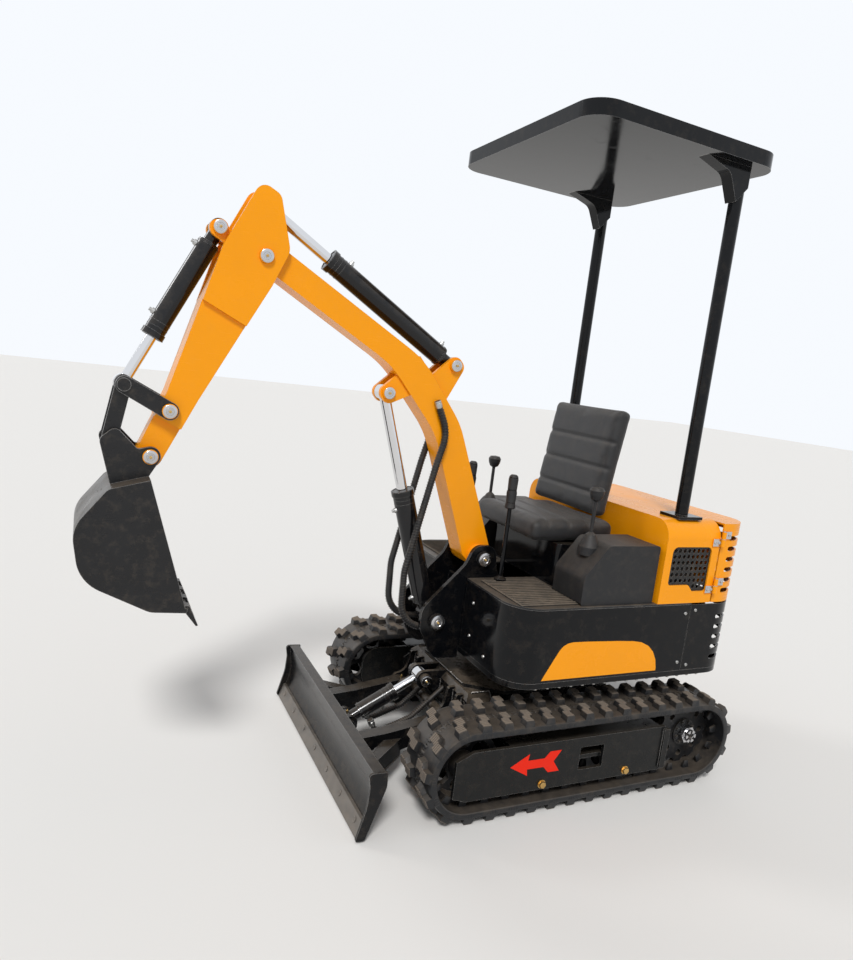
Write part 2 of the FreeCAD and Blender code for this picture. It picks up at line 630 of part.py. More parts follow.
for side in (1, -1):
    pad(ears, "XZ", (side * 22, side * 36), [
        (S.beam_front, frame_pin[1] - 42), (frame_pin[0] - 10, frame_pin[1] - lug_round - 4),
        (frame_pin[0] + lug_round, frame_pin[1] - lug_round, lug_round - 1),
        (frame_pin[0] + lug_round, clevis_top, lug_round - 1),
        (bevel + (S.deck_top - clevis_top) * bevel_slope, clevis_top), (S.beam_front, bevel_foot)])
    pad(ears, "XZ", (side * 34, side * 52), Round(*frame_pin, 21))

# Slewing ring between the centre frame and the house.
ring = new_body("slew_ring")
pad(ring, "XY", (S.deck_top, S.deck_top + S.ring_height), Round(0, 0, S.ring_reach), Round(0, 0, S.ring_bore))
pad(ring, "XY", (S.deck_top, S.deck_top + 14), Round(0, 0, S.ring_reach + 16), Round(0, 0, S.ring_bore))

# Blade: a hollow sheet with banana-shaped ends, two box arms that widen towards
# it, slanting braces and a clevis for the cylinder, all one weldment.
blade = new_body("blade")
slope = (S.board_foot_x - S.board_mid_x) / (S.board_mid_z - S.blade_foot)
back = -S.board_thick
pad(blade, "XZ", (-S.blade_half, S.blade_half), [
    (S.board_top_x, S.blade_top), (S.board_mid_x, S.board_mid_z, S.board_round),
    (S.board_foot_x, S.blade_foot), (S.board_foot_x + back, S.blade_foot),
    (S.board_mid_x + back, S.board_mid_z, S.board_round - S.board_thick), (S.board_top_x + back, S.blade_top)])
banana = [
    (S.board_top_x - 40, S.blade_top), (S.board_top_x + 16, S.blade_top + 2, 12),
    (S.board_top_x + 8, S.blade_top - 40, 60), (S.board_mid_x + 26, S.board_mid_z, 160),
    (S.board_foot_x + 16, S.blade_foot, 6), (S.board_foot_x - 12, S.blade_foot, 6),
    (S.board_mid_x - 2, S.board_mid_z - 20, 120), (S.board_top_x - 42, S.blade_top - 44, 60)]
for side in (1, -1):
    pad(blade, "XZ", (side * (S.blade_half - S.end_thick), side * S.blade_half), banana)
pad(blade, "XZ", (-S.blade_half, S.blade_half), [
    (S.board_top_x - 34, S.blade_top), (S.board_top_x - 34, S.blade_top - 8),
    (S.board_top_x - 2, S.blade_top - 8), (S.board_top_x - 2, S.blade_top)])
contact = S.board_mid_x + back / 2
arm_side = [
    (pivot[0] - S.ear_round, pivot[1] - S.ear_round, S.ear_round - 1),
    (pivot[0] + 20, pivot[1] - S.ear_round), (560, 84, 200), (contact + 14, 48), (contact + 3, 142),
    (600, 152, 200), (pivot[0] + 20, pivot[1] + S.ear_round),
    (pivot[0] - S.ear_round, pivot[1] + S.ear_round, S.ear_round - 1)]
for side in (1, -1):
    near, far = S.blade_arm_y - S.blade_arm_wide / 2, S.blade_arm_y + S.blade_arm_wide / 2
    pad(blade, "XZ", (side * near, side * far), arm_side)
    pad(blade, "XY", (68, 130), [
        (540, side * (far - 4)), (600, side * (far - 4)), (contact + 2, side * (far + 110)),
        (contact + 2, side * (far + 160))])
    cut(blade, "XZ", (side * (near - 1), side * (far + 1)), Round(*pivot, S.pin_reach + S.pin_play))
blade_pin = S.blade_pin_x, S.blade_pin_z
for side in (1, -1):
    pad(blade, "XZ", (side * 22, side * 36), [
        (blade_pin[0] - 26, blade_pin[1] - 26, 25), (contact + 8, 62), (contact, 150),
        (blade_pin[0] - 26, blade_pin[1] + 26, 25)])
pad(blade, "XZ", (-60, 60), [(contact - 22, 64), (contact + 8, 56), (contact + 2, 150), (contact - 14, 150)])
cut(blade, "XZ", (-21, 21), Round(*blade_pin, 27))
pad(blade, "XZ", (-44, 44), Round(*blade_pin, S.pin_reach))

# Cutting edge: a flat bar on the straight foot of the blade sheet.
bar = new_body("blade_edge")
top_z, depth = size(50), 9
foot_x = S.board_foot_x
top_x = S.board_foot_x - slope * (top_z - S.blade_foot)
pad(bar, "XZ", (-S.blade_half + S.end_thick, S.blade_half - S.end_thick), [
    (top_x, top_z), (foot_x, S.blade_foot), (foot_x + depth, S.blade_foot), (top_x + depth, top_z)])

# House floor: a base plate with the race that turns inside the slewing ring.
base_top = S.house_foot + S.base_thick
corners = [
    (S.house_front, -S.house_half, S.front_round), (S.house_front, S.house_half, S.front_round),
    (S.house_rear, S.house_half, S.rear_round), (S.house_rear, -S.house_half, S.rear_round)]
base = new_body("house_base")
pad(base, "XY", (S.house_foot, base_top), corners)
pad(base, "XY", (S.deck_top + 10, S.house_foot + 2), Round(0, 0, S.ring_bore - S.race_gap), Round(0, 0, 100))
pad(base, "XY", (S.deck_top + 30, S.deck_top + 42), Round(0, 0, S.ring_bore - S.race_play), Round(0, 0, 100))

# Side panels: bent sheet from the boom bracket round the front corner to the seam.
panel_edge = S.bracket_outer + 6
inner_front, inner_half = S.house_front - S.panel_wall, S.house_half - S.panel_wall
inner_round = S.front_round - S.panel_wall
for hand, side in SIDES:
    panel = new_body(f"side_panel_{hand}")
    pad(panel, "XY", (base_top, S.house_top), [
        (S.house_front, side * panel_edge), (S.house_front, side * S.house_half, S.front_round),
        (S.seam_x, side * S.house_half), (S.seam_x, side * inner_half),
        (inner_front, side * inner_half, inner_round), (inner_front, side * panel_edge)])

# Rear cowl: one bent sheet round the tail, with six air slots in each corner.
cowl = new_body("rear_cowl")
cowl_front = S.seam_x - S.seam_gap
inner_rear = S.house_rear + S.panel_wall
tail_round = S.rear_round - S.panel_wall
pad(cowl, "XY", (base_top, S.house_top), [
    (cowl_front, S.house_half), (S.house_rear, S.house_half, S.rear_round),
    (S.house_rear, -S.house_half, S.rear_round), (cowl_front, -S.house_half), (cowl_front, -inner_half),
    (inner_rear, -inner_half, tail_round), (inner_rear, inner_half, tail_round), (cowl_front, inner_half)])
end = S.slot_high / 2 - 0.5
for side in (1, -1):
    vent = cut(cowl, "XZ", (side * S.slot_inner, side * (S.house_half + 10)), [
        (S.slot_front, S.cowl_slot_z, end), (S.slot_front, S.cowl_slot_z + S.slot_high, end),
        (S.house_rear - 10, S.cowl_slot_z + S.slot_high), (S.house_rear - 10, S.cowl_slot_z)])
    along(cowl, vent, "Z", S.slot_pitch, 5)

# Floor plate over the panels, notched for the boom bracket.
floor_top = S.house_top + S.floor_thick
notch_rear = 40
notch_side = S.bracket_outer + 4
floor = new_body("floor_plate")
pad(floor, "XY", (S.house_top, floor_top), [
    (S.house_front, notch_side), (S.house_front, S.house_half, S.front_round), (S.seam_x, S.house_half),
    (S.seam_x, -S.house_half), (S.house_front, -S.house_half, S.front_round),
    (S.house_front, -notch_side), (notch_rear, -notch_side), (notch_rear, notch_side)])

# Boom bracket: two plates on the base plate, tied by a web, that carry the boom's
# foot pin and, low in front, the pin of the boom cylinder.
bracket = new_body("boom_bracket")
inside = S.bracket_outer - S.bracket_wall
foot, boom_base = (S.foot_x, S.foot_z), (S.boom_base_x, S.boom_base_z)
side_plate = [
    (60, base_top), (S.house_front + 1, base_top), (S.house_front + 1, 350), (boom_base[0] - 4, 350, 45),
    (boom_base[0] + 56, boom_base[1] - 26, 40), (boom_base[0] + 56, boom_base[1] + 44, 60),
    (foot[0] + 62, foot[1] - 22, 60), (foot[0] + 34, foot[1] + 44, 40), (foot[0] - 44, foot[1] + 44, 40),
    (foot[0] - 60, foot[1] - 60, 60), (60, 560, 60)]
for side in (1, -1):
    pad(bracket, "XZ", (side * inside, side * S.bracket_outer), side_plate)
pad(bracket, "XZ", (-inside - 2, inside + 2), slab((S.house_front - 32, S.house_front - 20), (base_top, 600)))
pad(bracket, "XZ", (-inside - 2, inside + 2), slab((60, 74), (base_top, 540)))
for (x, z), collar in ((foot, 24), (boom_base, 26)):
    pad(bracket, "XZ", (-inside - 1, inside + 1), Round(x, z, S.pin_reach))
    for side in (1, -1):
        pad(bracket, "XZ", (side * S.bracket_outer, side * (S.bracket_outer + 12)), Round(x, z, collar))

# Engine cover: an arch of sheet with a front wall and a window on each side,
# behind which sits a perforated grille.
cover = new_body("engine_cover")
cover_foot = floor_top
skin = [
    (-S.house_half, cover_foot), (-S.house_half, S.cover_top, S.cover_round),
    (S.house_half, S.cover_top, S.cover_round), (S.house_half, cover_foot)]
hollow = [
    (inner_half, cover_foot), (inner_half, S.cover_top - S.panel_wall, S.cover_round - S.panel_wall),
    (-inner_half, S.cover_top - S.panel_wall, S.cover_round - S.panel_wall), (-inner_half, cover_foot)]
pad(cover, "YZ", (S.cover_rear, S.cover_front), skin + hollow)
pad(cover, "YZ", (S.cover_front - S.panel_wall, S.cover_front), skin)
low, high = cover_foot + 40, cover_foot + 190
cut(cover, "XZ", (-S.house_half - 1, S.house_half + 1), [
    (S.cover_rear + 30, low, 12), (S.cover_rear + 90, low, 12), (S.cover_rear + 110, low + 22, 12),
    (S.cover_front - 30, low + 22, 12), (S.cover_front - 30, high, 20), (S.cover_rear + 30, high, 20)])
for hand, side in SIDES:
    grille = new_body(f"side_grille_{hand}")
    pad(grille, "XZ", (side * (inner_half - 3), side * inner_half),
        slab((S.cover_rear + 18, S.cover_front - 18), (low - 12, high + 12)))
    hole_x, hole_z = S.cover_rear + 44, low + 16
    hole = cut(grille, "XZ", (side * (inner_half - 4), side * (inner_half + 1)), [
        (hole_x - 8, hole_z), (hole_x - 4, hole_z - 7), (hole_x + 4, hole_z - 7), (hole_x + 8, hole_z),
        (hole_x + 4, hole_z + 7), (hole_x - 4, hole_z + 7)])
    field(grille, hole, ("X", 20, 8), ("Z", 20, 7))

# Engine block, set low at the rear.
engine = new_body("engine")
pad(engine, "XY", (base_top, S.engine_top),
    slab((S.engine_rear, S.engine_front), (-S.engine_half, S.engine_half)))

# Rear door: a bent sheet with a top, hinged at its left edge, slotted like the cowl.
door_front = S.cover_rear - S.door_gap
door_foot = S.house_top + S.door_gap
door_top = S.cover_top - 4
door = new_body("rear_door")
pad(door, "XY", (door_foot, door_top), [
    (door_front, S.house_half), (S.house_rear, S.house_half, S.rear_round),
    (S.house_rear, -S.house_half, S.rear_round), (door_front, -S.house_half), (door_front, -inner_half),
    (inner_rear, -inner_half, tail_round), (inner_rear, inner_half, tail_round), (door_front, inner_half)])
pad(door, "XY", (door_top - S.panel_wall, door_top), [
    (door_front, S.house_half), (S.house_rear, S.house_half, S.rear_round),
    (S.house_rear, -S.house_half, S.rear_round), (door_front, -S.house_half)])
for side in (1, -1):
    vent = cut(door, "XZ", (side * S.slot_inner, side * (S.house_half + 10)), [
        (S.slot_front, S.door_slot_z, end), (S.slot_front, S.door_slot_z + S.slot_high, end),
        (S.house_rear - 10, S.door_slot_z + S.slot_high), (S.house_rear - 10, S.door_slot_z)])
    along(door, vent, "Z", S.slot_pitch, 6)
hinge_x, hinge_y = S.cover_rear - S.door_gap / 2, S.house_half + 9
LEAVES = ((cover, hinge_x + 2, hinge_x + 38, (660, 820)), (door, hinge_x - 38, hinge_x - 2, (685.3, 845.3)))
for carrier, x_low, x_high, levels in LEAVES:
    for level in levels:
        pad(carrier, "XY", (level, level + 25), [
            (x_low, S.house_half - 1), (x_high, S.house_half - 1), (x_high, S.house_half + 4),
            (x_low, S.house_half + 4)])
        pad(carrier, "XY", (level, level + 25), Round(hinge_x, hinge_y, 7))

# Seat on a box, with consoles and levers at both sides and travel levers in front.
box = new_body("seat_base")
pad(box, "XY", (floor_top, S.seat_height), [
    (S.seat_box_rear, -S.seat_half), (S.seat_box_front, -S.seat_half, 20),
    (S.seat_box_front, S.seat_half, 20), (S.seat_box_rear, S.seat_half)])
cushion = new_body("seat_cushion")
pad(cushion, "XY", (S.seat_height, S.seat_height + S.cushion_thick), [
    (S.cushion_rear, -S.seat_half, 50), (S.cushion_front, -S.seat_half, 70),
    (S.cushion_front, S.seat_half, 70), (S.cushion_rear, S.seat_half, 50)])
backrest = new_body("seat_backrest", S.back_x, 0, S.seat_height + S.cushion_thick - 6.4, -S.back_turn)
pad(backrest, "XZ", (-200, 200), [(-64, 4, 10), (8, 4, 30), (0, 390, 30), (-56, 390, 25)])
for hand, side in SIDES:
    stick_z = floor_top + S.stick_rise
    console = new_body(f"console_{hand}", S.stick_x, side * S.console_y, stick_z)
    pad(console, "XZ", (-S.console_half, S.console_half), [
        (-225, floor_top - stick_z), (60, floor_top - stick_z, 10), (60, -74, 40), (-20, 26, 30),
        (-225, 26, 10)])
    revolve(console, "XZ", "V_Axis", [
        (0, -20), (34, -20), (34, 6), (24, 26), (16, 44), (6, 52), (6, 150), (16, 156), (22, 170), (24, 184),
        (18, 193), (0, 196)])
    lever = new_body(f"travel_lever_{hand}", S.lever_x, side * (notch_side + 44), floor_top)
    revolve(lever, "XZ", "V_Axis", [
        (0, 0), (20, 0), (20, 12), (7, 20), (7, 250), (15, 256), (15, 350), (0, 356)])

# Canopy: a bent tube frame that stands on the engine cover, and a roof.
for hand, side in SIDES:
    post = new_body(f"canopy_post_{hand}")
    y = side * S.post_y
    reach = S.post_reach
    pad(post, "XY", (S.cover_top, S.cover_top + 10), slab((S.post_x - 50, S.post_x + 50), (y - 45, y + 45)))
    pad(post, "XY", (S.cover_top + 8, S.roof_height - 60), Round(S.post_x, y, reach))
    pad(post, "XZ", (y - reach, y + reach), [
        (S.post_x - reach, S.roof_height - 62), (S.post_x - reach, S.roof_height), (-150, S.roof_height),
        (-250, S.roof_height - 30, 40), (S.post_x + reach, S.roof_height - 110)])
roof = new_body("canopy_roof")
pad(roof, "XY", (S.roof_height, S.roof_height + S.roof_thick), [
    (x, y, S.roof_round) for x, y in slab((S.roof_rear, S.roof_front), (-S.roof_half, S.roof_half))])

# Boom: a bent box with round bosses, cylinder ears on its belly and on its back.
boom = new_body("boom", foot[0], 0, foot[1], S.boom_rise)
half = S.boom_wide / 2
pad(boom, "XZ", (-half, half), [
    (-38, -38, 37), (-38, 40, 37), (S.boom_lug_x - 230, 205, 300), (S.boom_lug_x + 10, 222, 300),
    (S.boom_long + 36, 40, 36), (S.boom_long + 36, -38, 36), (S.boom_lug_x + 60, 126, 300),
    (S.boom_lug_x - 200, 118, 300), (40, -40)])
pad(boom, "XZ", (-inside + 2, inside - 2), Round(0, 0, 40))
boom_lug, arm_base = (S.boom_lug_x, S.boom_lug_z), (S.arm_base_x, S.arm_base_z)
for (x, z), top in ((boom_lug, 150), (arm_base, -120)):
    for side in (1, -1):
        pad(boom, "XZ", (side * 22, side * 36), [
            (x - 26, z + math.copysign(26, -top), 25), (x + 26, z + math.copysign(26, -top), 25),
            (x + 26, z + top), (x - 80, z + top)])
        pad(boom, "XZ", (side * 34, side * 46), Round(x, z, 20))
cut(boom, "XZ", (-half - 1, half + 1), Round(S.boom_long, 0, S.pin_reach + S.pin_play))
cut(boom, "XZ", (-inside, inside), Round(0, 0, S.pin_reach + S.pin_play))
cut(boom, "XZ", (-21, 21), Round(boom_lug[0] - 5, boom_lug[1] + 18, 52))
pad(boom, "XZ", (-23, 23), Round(*arm_base, S.pin_reach))

# Arm: cheeks that straddle the boom's tip, a tapering box and the pins that turn
# with it.
tip = placed(foot, S.boom_rise, S.boom_long, 0)
arm = new_body("arm", tip[0], 0, tip[1], S.arm_turn)
cheek = S.arm_wide / 2 + S.fork_gap
head = S.arm_lug_x, S.arm_lug_z
for side in (1, -1):
    pad(arm, "XZ", (side * cheek, side * (cheek + S.cheek_wall)), [
        (head[0] - 30, head[1] - 30, 28), (head[0] - 30, head[1] + 30, 28), (40, 108, 60), (190, 84),
        (190, -46), (60, -52, 40), (-48, -48, 45)])
pad(arm, "XZ", (-cheek - 2, cheek + 2), [
    (76, 92), (190, 84), (S.rocker_x - 40, 44), (S.arm_long + 34, 34, 33), (S.arm_long + 34, -34, 33),
    (S.rocker_x - 60, -36, 40), (190, -46), (76, -30)])
for side in (1, -1):
    cut(arm, "XZ", (side * S.arm_nose_half, side * (cheek + 3)),
        slab((S.rocker_x + 30, S.arm_long + 40), (-40, 50)))
    pad(arm, "XZ", (side * (S.arm_nose_half - 1), side * (cheek + 2)), Round(S.arm_long, 0, 19))
bucket_base = S.bucket_base_x, S.bucket_base_z
pad(arm, "XZ", (-cheek - 2, cheek + 2), slab((bucket_base[0] - 30, 80), (78, 92)))
for side in (1, -1):
    pad(arm, "XZ", (side * 22, side * (cheek + 2)), [
        (head[0] - 24, head[1] - 24, 22), (head[0] - 24, head[1] + 24, 22), (head[0] + 24, head[1] + 24, 22),
        (head[0] + 24, head[1] - 24, 22)])
    pad(arm, "XZ", (side * 22, side * 36), [
        (bucket_base[0] - 26, bucket_base[1] + 26, 24), (bucket_base[0] + 26, bucket_base[1] + 26, 24),
        (bucket_base[0] + 32, 70), (bucket_base[0], 70)])
ARM_PINS = (
    ((0, 0), cheek + S.cheek_wall), (bucket_base, size(36)),
    ((S.rocker_x, S.rocker_z), cheek + 16), ((S.arm_long, 0), cheek + 16))
for (x, z), reach in ARM_PINS:
    pad(arm, "XZ", (-reach, reach), Round(x, z, S.pin_reach))
    for side in (1, -1):
        pad(arm, "XZ", (side * reach, side * (reach + 7)), Round(x, z, 20))

# Cylinders: a barrel on its pin and a rod in its bore. Each rod's eye stands free
# between two ears, where the real pin would close the linkage.
Stay = collections.namedtuple("Stay", "name x z turn length barrel tail bore")
STAYS = (
    Stay("blade_cylinder", blade_pin[0], blade_pin[1], S.blade_stay_turn, S.blade_stay, 182, 100, 27),
    Stay("boom_cylinder", boom_base[0], boom_base[1], S.boom_stay_turn, S.boom_stay, 436, 345, 34),
    Stay("arm_cylinder", *placed(foot, S.boom_rise, *arm_base), S.boom_rise + S.arm_stay_turn,
         S.arm_stay, 500, 350, 31),
    Stay("bucket_cylinder", *placed(tip, S.arm_turn, *bucket_base), S.arm_turn + S.bucket_stay_turn,
         S.bucket_stay, 340, 150, 28))
for stay in STAYS:
    outer, rod, gland = stay.bore, stay.bore * 0.52, stay.barrel - 16
    barrel = new_body(f"{stay.name}_barrel", stay.x, 0, stay.z, stay.turn)
    revolve(barrel, "XZ", "H_Axis", [
        (18, 0), (18, 19), (46, 19), (46, outer), (gland, outer), (gland, outer + 3), (stay.barrel, outer + 3),
        (stay.barrel, rod + 0.1), (gland, rod + 0.1), (gland, outer - 6), (58, outer - 6), (58, 0)])
    pad(barrel, "XZ", (-20, 20), Round(0, 0, 25))
    cut(barrel, "XZ", (-21, 21), Round(0, 0, S.pin_reach + S.pin_play))
    shaft = new_body(f"{stay.name}_rod", stay.x, 0, stay.z, stay.turn)
    revolve(shaft, "XZ", "H_Axis", [
        (stay.tail, 0), (stay.tail, rod), (stay.length - 18, rod), (stay.length - 18, 0)])
    pad(shaft, "XZ", (-20, 20), Round(stay.length, 0, 25))

# Hoses: a pair to the blade cylinder, from the front beam to its barrel, and a pair
# that rises before the bracket to the boom's belly.
Hose = collections.namedtuple("Hose", "name x y z turn radius route")
HOSES = []
for hand, side in SIDES:
    HOSES.append(Hose(f"blade_hose_{hand}", blade_pin[0], side * S.hose_y, blade_pin[1], S.blade_stay_turn, 8, (
        (64, 20), (64, 74, 30), (190, 94, 60), (340, 59))))
    HOSES.append(Hose(f"boom_hose_{hand}", size(0), side * 56, size(0), size(0), 10, (
        (S.house_front - 9.5, base_top), (S.house_front - 9.5, 450, 45), (540, 450, 90), (546, 640, 160),
        (480, 985))))
for hose in HOSES:
    pipe = new_body(hose.name, hose.x, hose.y, hose.z, hose.turn)
    spine = draw(pipe, "XZ", size(0), [lambda sketch: draw_outline(sketch, hose.route, closed=False)])
    section = draw(pipe, "XY", size(hose.route[0][1]), [Round(hose.route[0][0], 0, hose.radius)])
    run = pipe.newObject("PartDesign::AdditivePipe", f"{hose.name}_run")
    run.Profile = section
    run.Spine = (spine, [])

# Rocker, link and bucket: plates and a bowl with teeth that curl as one.
rocker_base = placed(tip, S.arm_turn, S.rocker_x, S.rocker_z)
rocker_rise = S.arm_turn + S.rocker_turn
rocker = new_body("bucket_rocker", rocker_base[0], 0, rocker_base[1], rocker_rise)
outer_link = cheek + 3
for side in (1, -1):
    pad(rocker, "XZ", (side * outer_link, side * (outer_link + 12)), [
        (-24, -24, 23), (-24, 24, 23), (S.rocker_long + 20, 22, 20), (S.rocker_long + 20, -22, 20)])
for side in (1, -1):
    pad(rocker, "XZ", (side * 22, side * (outer_link + 2)), Round(S.rocker_long, 0, 12))
    pad(rocker, "XZ", (side * (outer_link + 12), side * (outer_link + 18)), Round(S.rocker_long, 0, 17))
cut(rocker, "XZ", (-outer_link - 13, outer_link + 13), Round(0, 0, S.pin_reach + S.pin_play))
joint = placed(rocker_base, rocker_rise, S.rocker_long, 0)
link = new_body("bucket_link", joint[0], 0, joint[1], S.arm_turn + S.link_turn)
for side in (1, -1):
    pad(link, "XZ", (side * 37, side * 49), [
        (-20, -20, 19), (-20, 20, 19), (S.link_long + 18, 20, 18), (S.link_long + 18, -20, 18)])
pad(link, "XZ", (-39, 39), slab((50, S.link_long - 46), (-8, 8)))
cut(link, "XZ", (-50, 50), Round(0, 0, 12 + S.pin_play))

bucket_pin = placed(tip, S.arm_turn, S.arm_long, 0)
bucket = new_body("bucket", bucket_pin[0], 0, bucket_pin[1], S.arm_turn + S.bucket_turn)
reach, wall = S.bucket_reach, S.bucket_wall
bowl = [
    (50, 14), (50, 118, 30), (130, 222, 90), (270, 236, 110), (reach - 30, 90, 60), (reach, 0)]
skin_in = [
    (reach - 12, -6), (reach - 37, 86, 54), (268, 229, 104), (133, 215, 84), (57, 115, 24), (57, 14)]
pad(bucket, "XZ", (-S.bucket_half, S.bucket_half), bowl + skin_in)
for side in (1, -1):
    pad(bucket, "XZ", (side * (S.bucket_half - wall), side * S.bucket_half), bowl)
    pad(bucket, "XZ", (side * (cheek + 3), side * (cheek + 15)), [
        (-26, -26, 25), (-26, 26, 10), (-96, 66, 18), (-72, 112, 20), (53, 112), (53, 16), (10, -26, 20)])
for place in (-1, -0.34, 0.34, 1):
    middle = place * (S.bucket_half - 20)
    pad(bucket, "XZ", (middle - 14, middle + 14), [
        (reach - 26, 14), (reach + 46, -16), (reach + 46, -22), (reach - 16, -12)])
cut(bucket, "XZ", (-70, 70), Round(0, 0, S.pin_reach + S.pin_play))

# Checks, then one STEP file for each sub-part.
doc.recompute()
for thing in doc.Objects:
    if "Invalid" in thing.State or "Error" in thing.State:
        raise RuntimeError(f"{thing.Label} did not build: {thing.State}")
os.makedirs("parts", exist_ok=True)
for body in nodes:
    if body.Shape.isNull() or not body.Shape.isValid():
        raise RuntimeError(f"{body.Label} has no valid shape")
    body.Shape.exportStep(f"parts/{body.Label}.step")
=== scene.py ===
import json
import math

import bmesh
import bpy
from mathutils import Matrix, Vector


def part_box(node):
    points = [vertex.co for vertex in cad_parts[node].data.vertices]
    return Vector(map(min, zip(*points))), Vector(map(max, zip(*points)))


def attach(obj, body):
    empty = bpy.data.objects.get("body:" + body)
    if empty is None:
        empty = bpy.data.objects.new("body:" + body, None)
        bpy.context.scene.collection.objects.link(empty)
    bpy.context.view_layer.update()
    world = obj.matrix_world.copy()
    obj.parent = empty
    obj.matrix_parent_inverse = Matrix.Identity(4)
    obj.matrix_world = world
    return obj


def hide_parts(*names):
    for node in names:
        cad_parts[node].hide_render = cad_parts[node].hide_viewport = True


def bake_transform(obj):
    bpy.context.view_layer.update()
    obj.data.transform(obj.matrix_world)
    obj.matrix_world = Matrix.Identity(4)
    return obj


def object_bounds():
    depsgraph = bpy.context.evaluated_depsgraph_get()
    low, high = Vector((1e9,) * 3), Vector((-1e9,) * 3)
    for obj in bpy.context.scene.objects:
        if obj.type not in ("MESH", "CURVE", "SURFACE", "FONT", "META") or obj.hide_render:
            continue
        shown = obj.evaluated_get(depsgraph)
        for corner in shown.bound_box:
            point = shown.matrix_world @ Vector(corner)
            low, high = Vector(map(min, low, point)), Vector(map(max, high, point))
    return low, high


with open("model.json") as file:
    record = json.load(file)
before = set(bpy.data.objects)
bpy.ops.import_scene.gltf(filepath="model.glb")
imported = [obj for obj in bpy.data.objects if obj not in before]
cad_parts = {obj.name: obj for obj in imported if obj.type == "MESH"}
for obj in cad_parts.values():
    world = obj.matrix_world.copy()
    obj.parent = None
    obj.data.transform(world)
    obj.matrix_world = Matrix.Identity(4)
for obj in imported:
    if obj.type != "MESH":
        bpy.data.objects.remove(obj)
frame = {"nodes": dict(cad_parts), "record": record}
solid_box = [[float(n) for n in corner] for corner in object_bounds()]


# --- Rubber tracks -----------------------------------------------------------
# Endless moulded rubber belts with steel cords inside. Two columns of stepped lugs
# stand half a pitch apart, their worn tops cut by thin grooves; guide lugs run inside.
def spot(x, y, z):
    """A place given in millimetres from the slew axis, as the frame has it."""
    return Vector((x - 458, y, z)) / 1000


def put(tree, kind, sockets=None, **traits):
    """One shader node: sockets named in the table are set, or joined where they get a socket."""
    node = tree.nodes.new("ShaderNode" + kind)
    for trait, value in traits.items():
        setattr(node, trait, value)
    for socket, value in (sockets or {}).items():
        if isinstance(value, bpy.types.NodeSocket):
            tree.links.new(value, node.inputs[socket])
        else:
            node.inputs[socket].default_value = value
    return node


def number_of(tree, first, second, operation="ADD", clamp=False):
    """What a sum, product or difference of two numbers comes to."""
    return put(tree, "Math", {0: first, 1: second}, operation=operation, use_clamp=clamp).outputs[0]


def begin_effect(name, inputs, outputs):
    """A shared effect: a node group with named numbers going in and coming out."""
    tree = bpy.data.node_groups.new(name, "ShaderNodeTree")
    for label, value in inputs:
        socket = tree.interface.new_socket(name=label, in_out="INPUT", socket_type="NodeSocketFloat")
        socket.default_value = value
    for label in outputs:
        tree.interface.new_socket(name=label, in_out="OUTPUT", socket_type="NodeSocketFloat")
    return tree, tree.nodes.new("NodeGroupInput").outputs, tree.nodes.new("NodeGroupOutput").inputs


# Yard age: slow blotches, fine grain, dust that settles on what faces up, and rubbed edges.
yard_age, given, result = begin_effect(
    "yard_age", (("Blotch", 9.0), ("Grain", 700.0), ("Dust", 0.3), ("Edge", 0.0015), ("Wear", 0.5)),
    ("Shade", "Dust", "Wear", "Height", "Scuff"))
place = put(yard_age, "TexCoord").outputs["Object"]
blotch = put(yard_age, "TexNoise", {
    "Vector": place, "Scale": given["Blotch"], "Detail": 5.0, "Roughness": 0.62})
grain = put(yard_age, "TexNoise", {"Vector": place, "Scale": given["Grain"], "Detail": 2.0})
drift = put(yard_age, "TexNoise", {"Vector": place, "Scale": 31.0, "Detail": 6.0, "Roughness": 0.7})
drawn = put(yard_age, "Mapping", {
    "Vector": place, "Scale": (14.0, 14.0, 160.0), "Rotation": (0.4, 0.2, 0.9)})
scuff = put(yard_age, "TexNoise", {"Vector": drawn.outputs[0], "Scale": 1.6, "Detail": 4.0})
geometry = put(yard_age, "NewGeometry")
upward = put(yard_age, "SeparateXYZ", {0: geometry.outputs["Normal"]}).outputs["Z"]
settled = put(yard_age, "MapRange", {0: upward, 1: -0.2, 2: 1.0, 3: -0.28, 4: 0.62}).outputs[0]
patchy = number_of(yard_age, drift.outputs["Fac"], 1.7, "MULTIPLY")
patchy = number_of(yard_age, patchy, 0.72, "SUBTRACT")
patchy = number_of(yard_age, number_of(yard_age, patchy, settled), given["Dust"], "MULTIPLY", clamp=True)
rounded = put(yard_age, "Bevel", {"Radius": given["Edge"]}, samples=4)
facing = put(yard_age, "VectorMath", {0: rounded.outputs[0], 1: geometry.outputs["Normal"]},
             operation="DOT_PRODUCT")
turned_by = number_of(yard_age, 1.0, facing.outputs["Value"], "SUBTRACT")
rubbed = number_of(yard_age, drift.outputs["Fac"], 22.0, "MULTIPLY")
rubbed = number_of(yard_age, turned_by, rubbed, "MULTIPLY")
rubbed = number_of(yard_age, rubbed, 0.7, "SUBTRACT")
rubbed = number_of(yard_age, rubbed, given["Wear"], "MULTIPLY", clamp=True)
scratched = put(yard_age, "MapRange", {0: scuff.outputs["Fac"], 1: 0.62, 2: 0.72, 3: 0.0, 4: 1.0})
scratched = number_of(yard_age, scratched.outputs[0], given["Wear"], "MULTIPLY")
height = number_of(yard_age, blotch.outputs["Fac"], 1.5, "MULTIPLY")
height = number_of(yard_age, grain.outputs["Fac"], height)
for label, value in (("Shade", blotch.outputs["Fac"]), ("Dust", patchy), ("Wear", rubbed),
                     ("Height", height), ("Scuff", scratched)):
    yard_age.links.new(value, result[label])

EARTH = (0.33, 0.255, 0.18)
BARE_STEEL = (0.34, 0.33, 0.32)


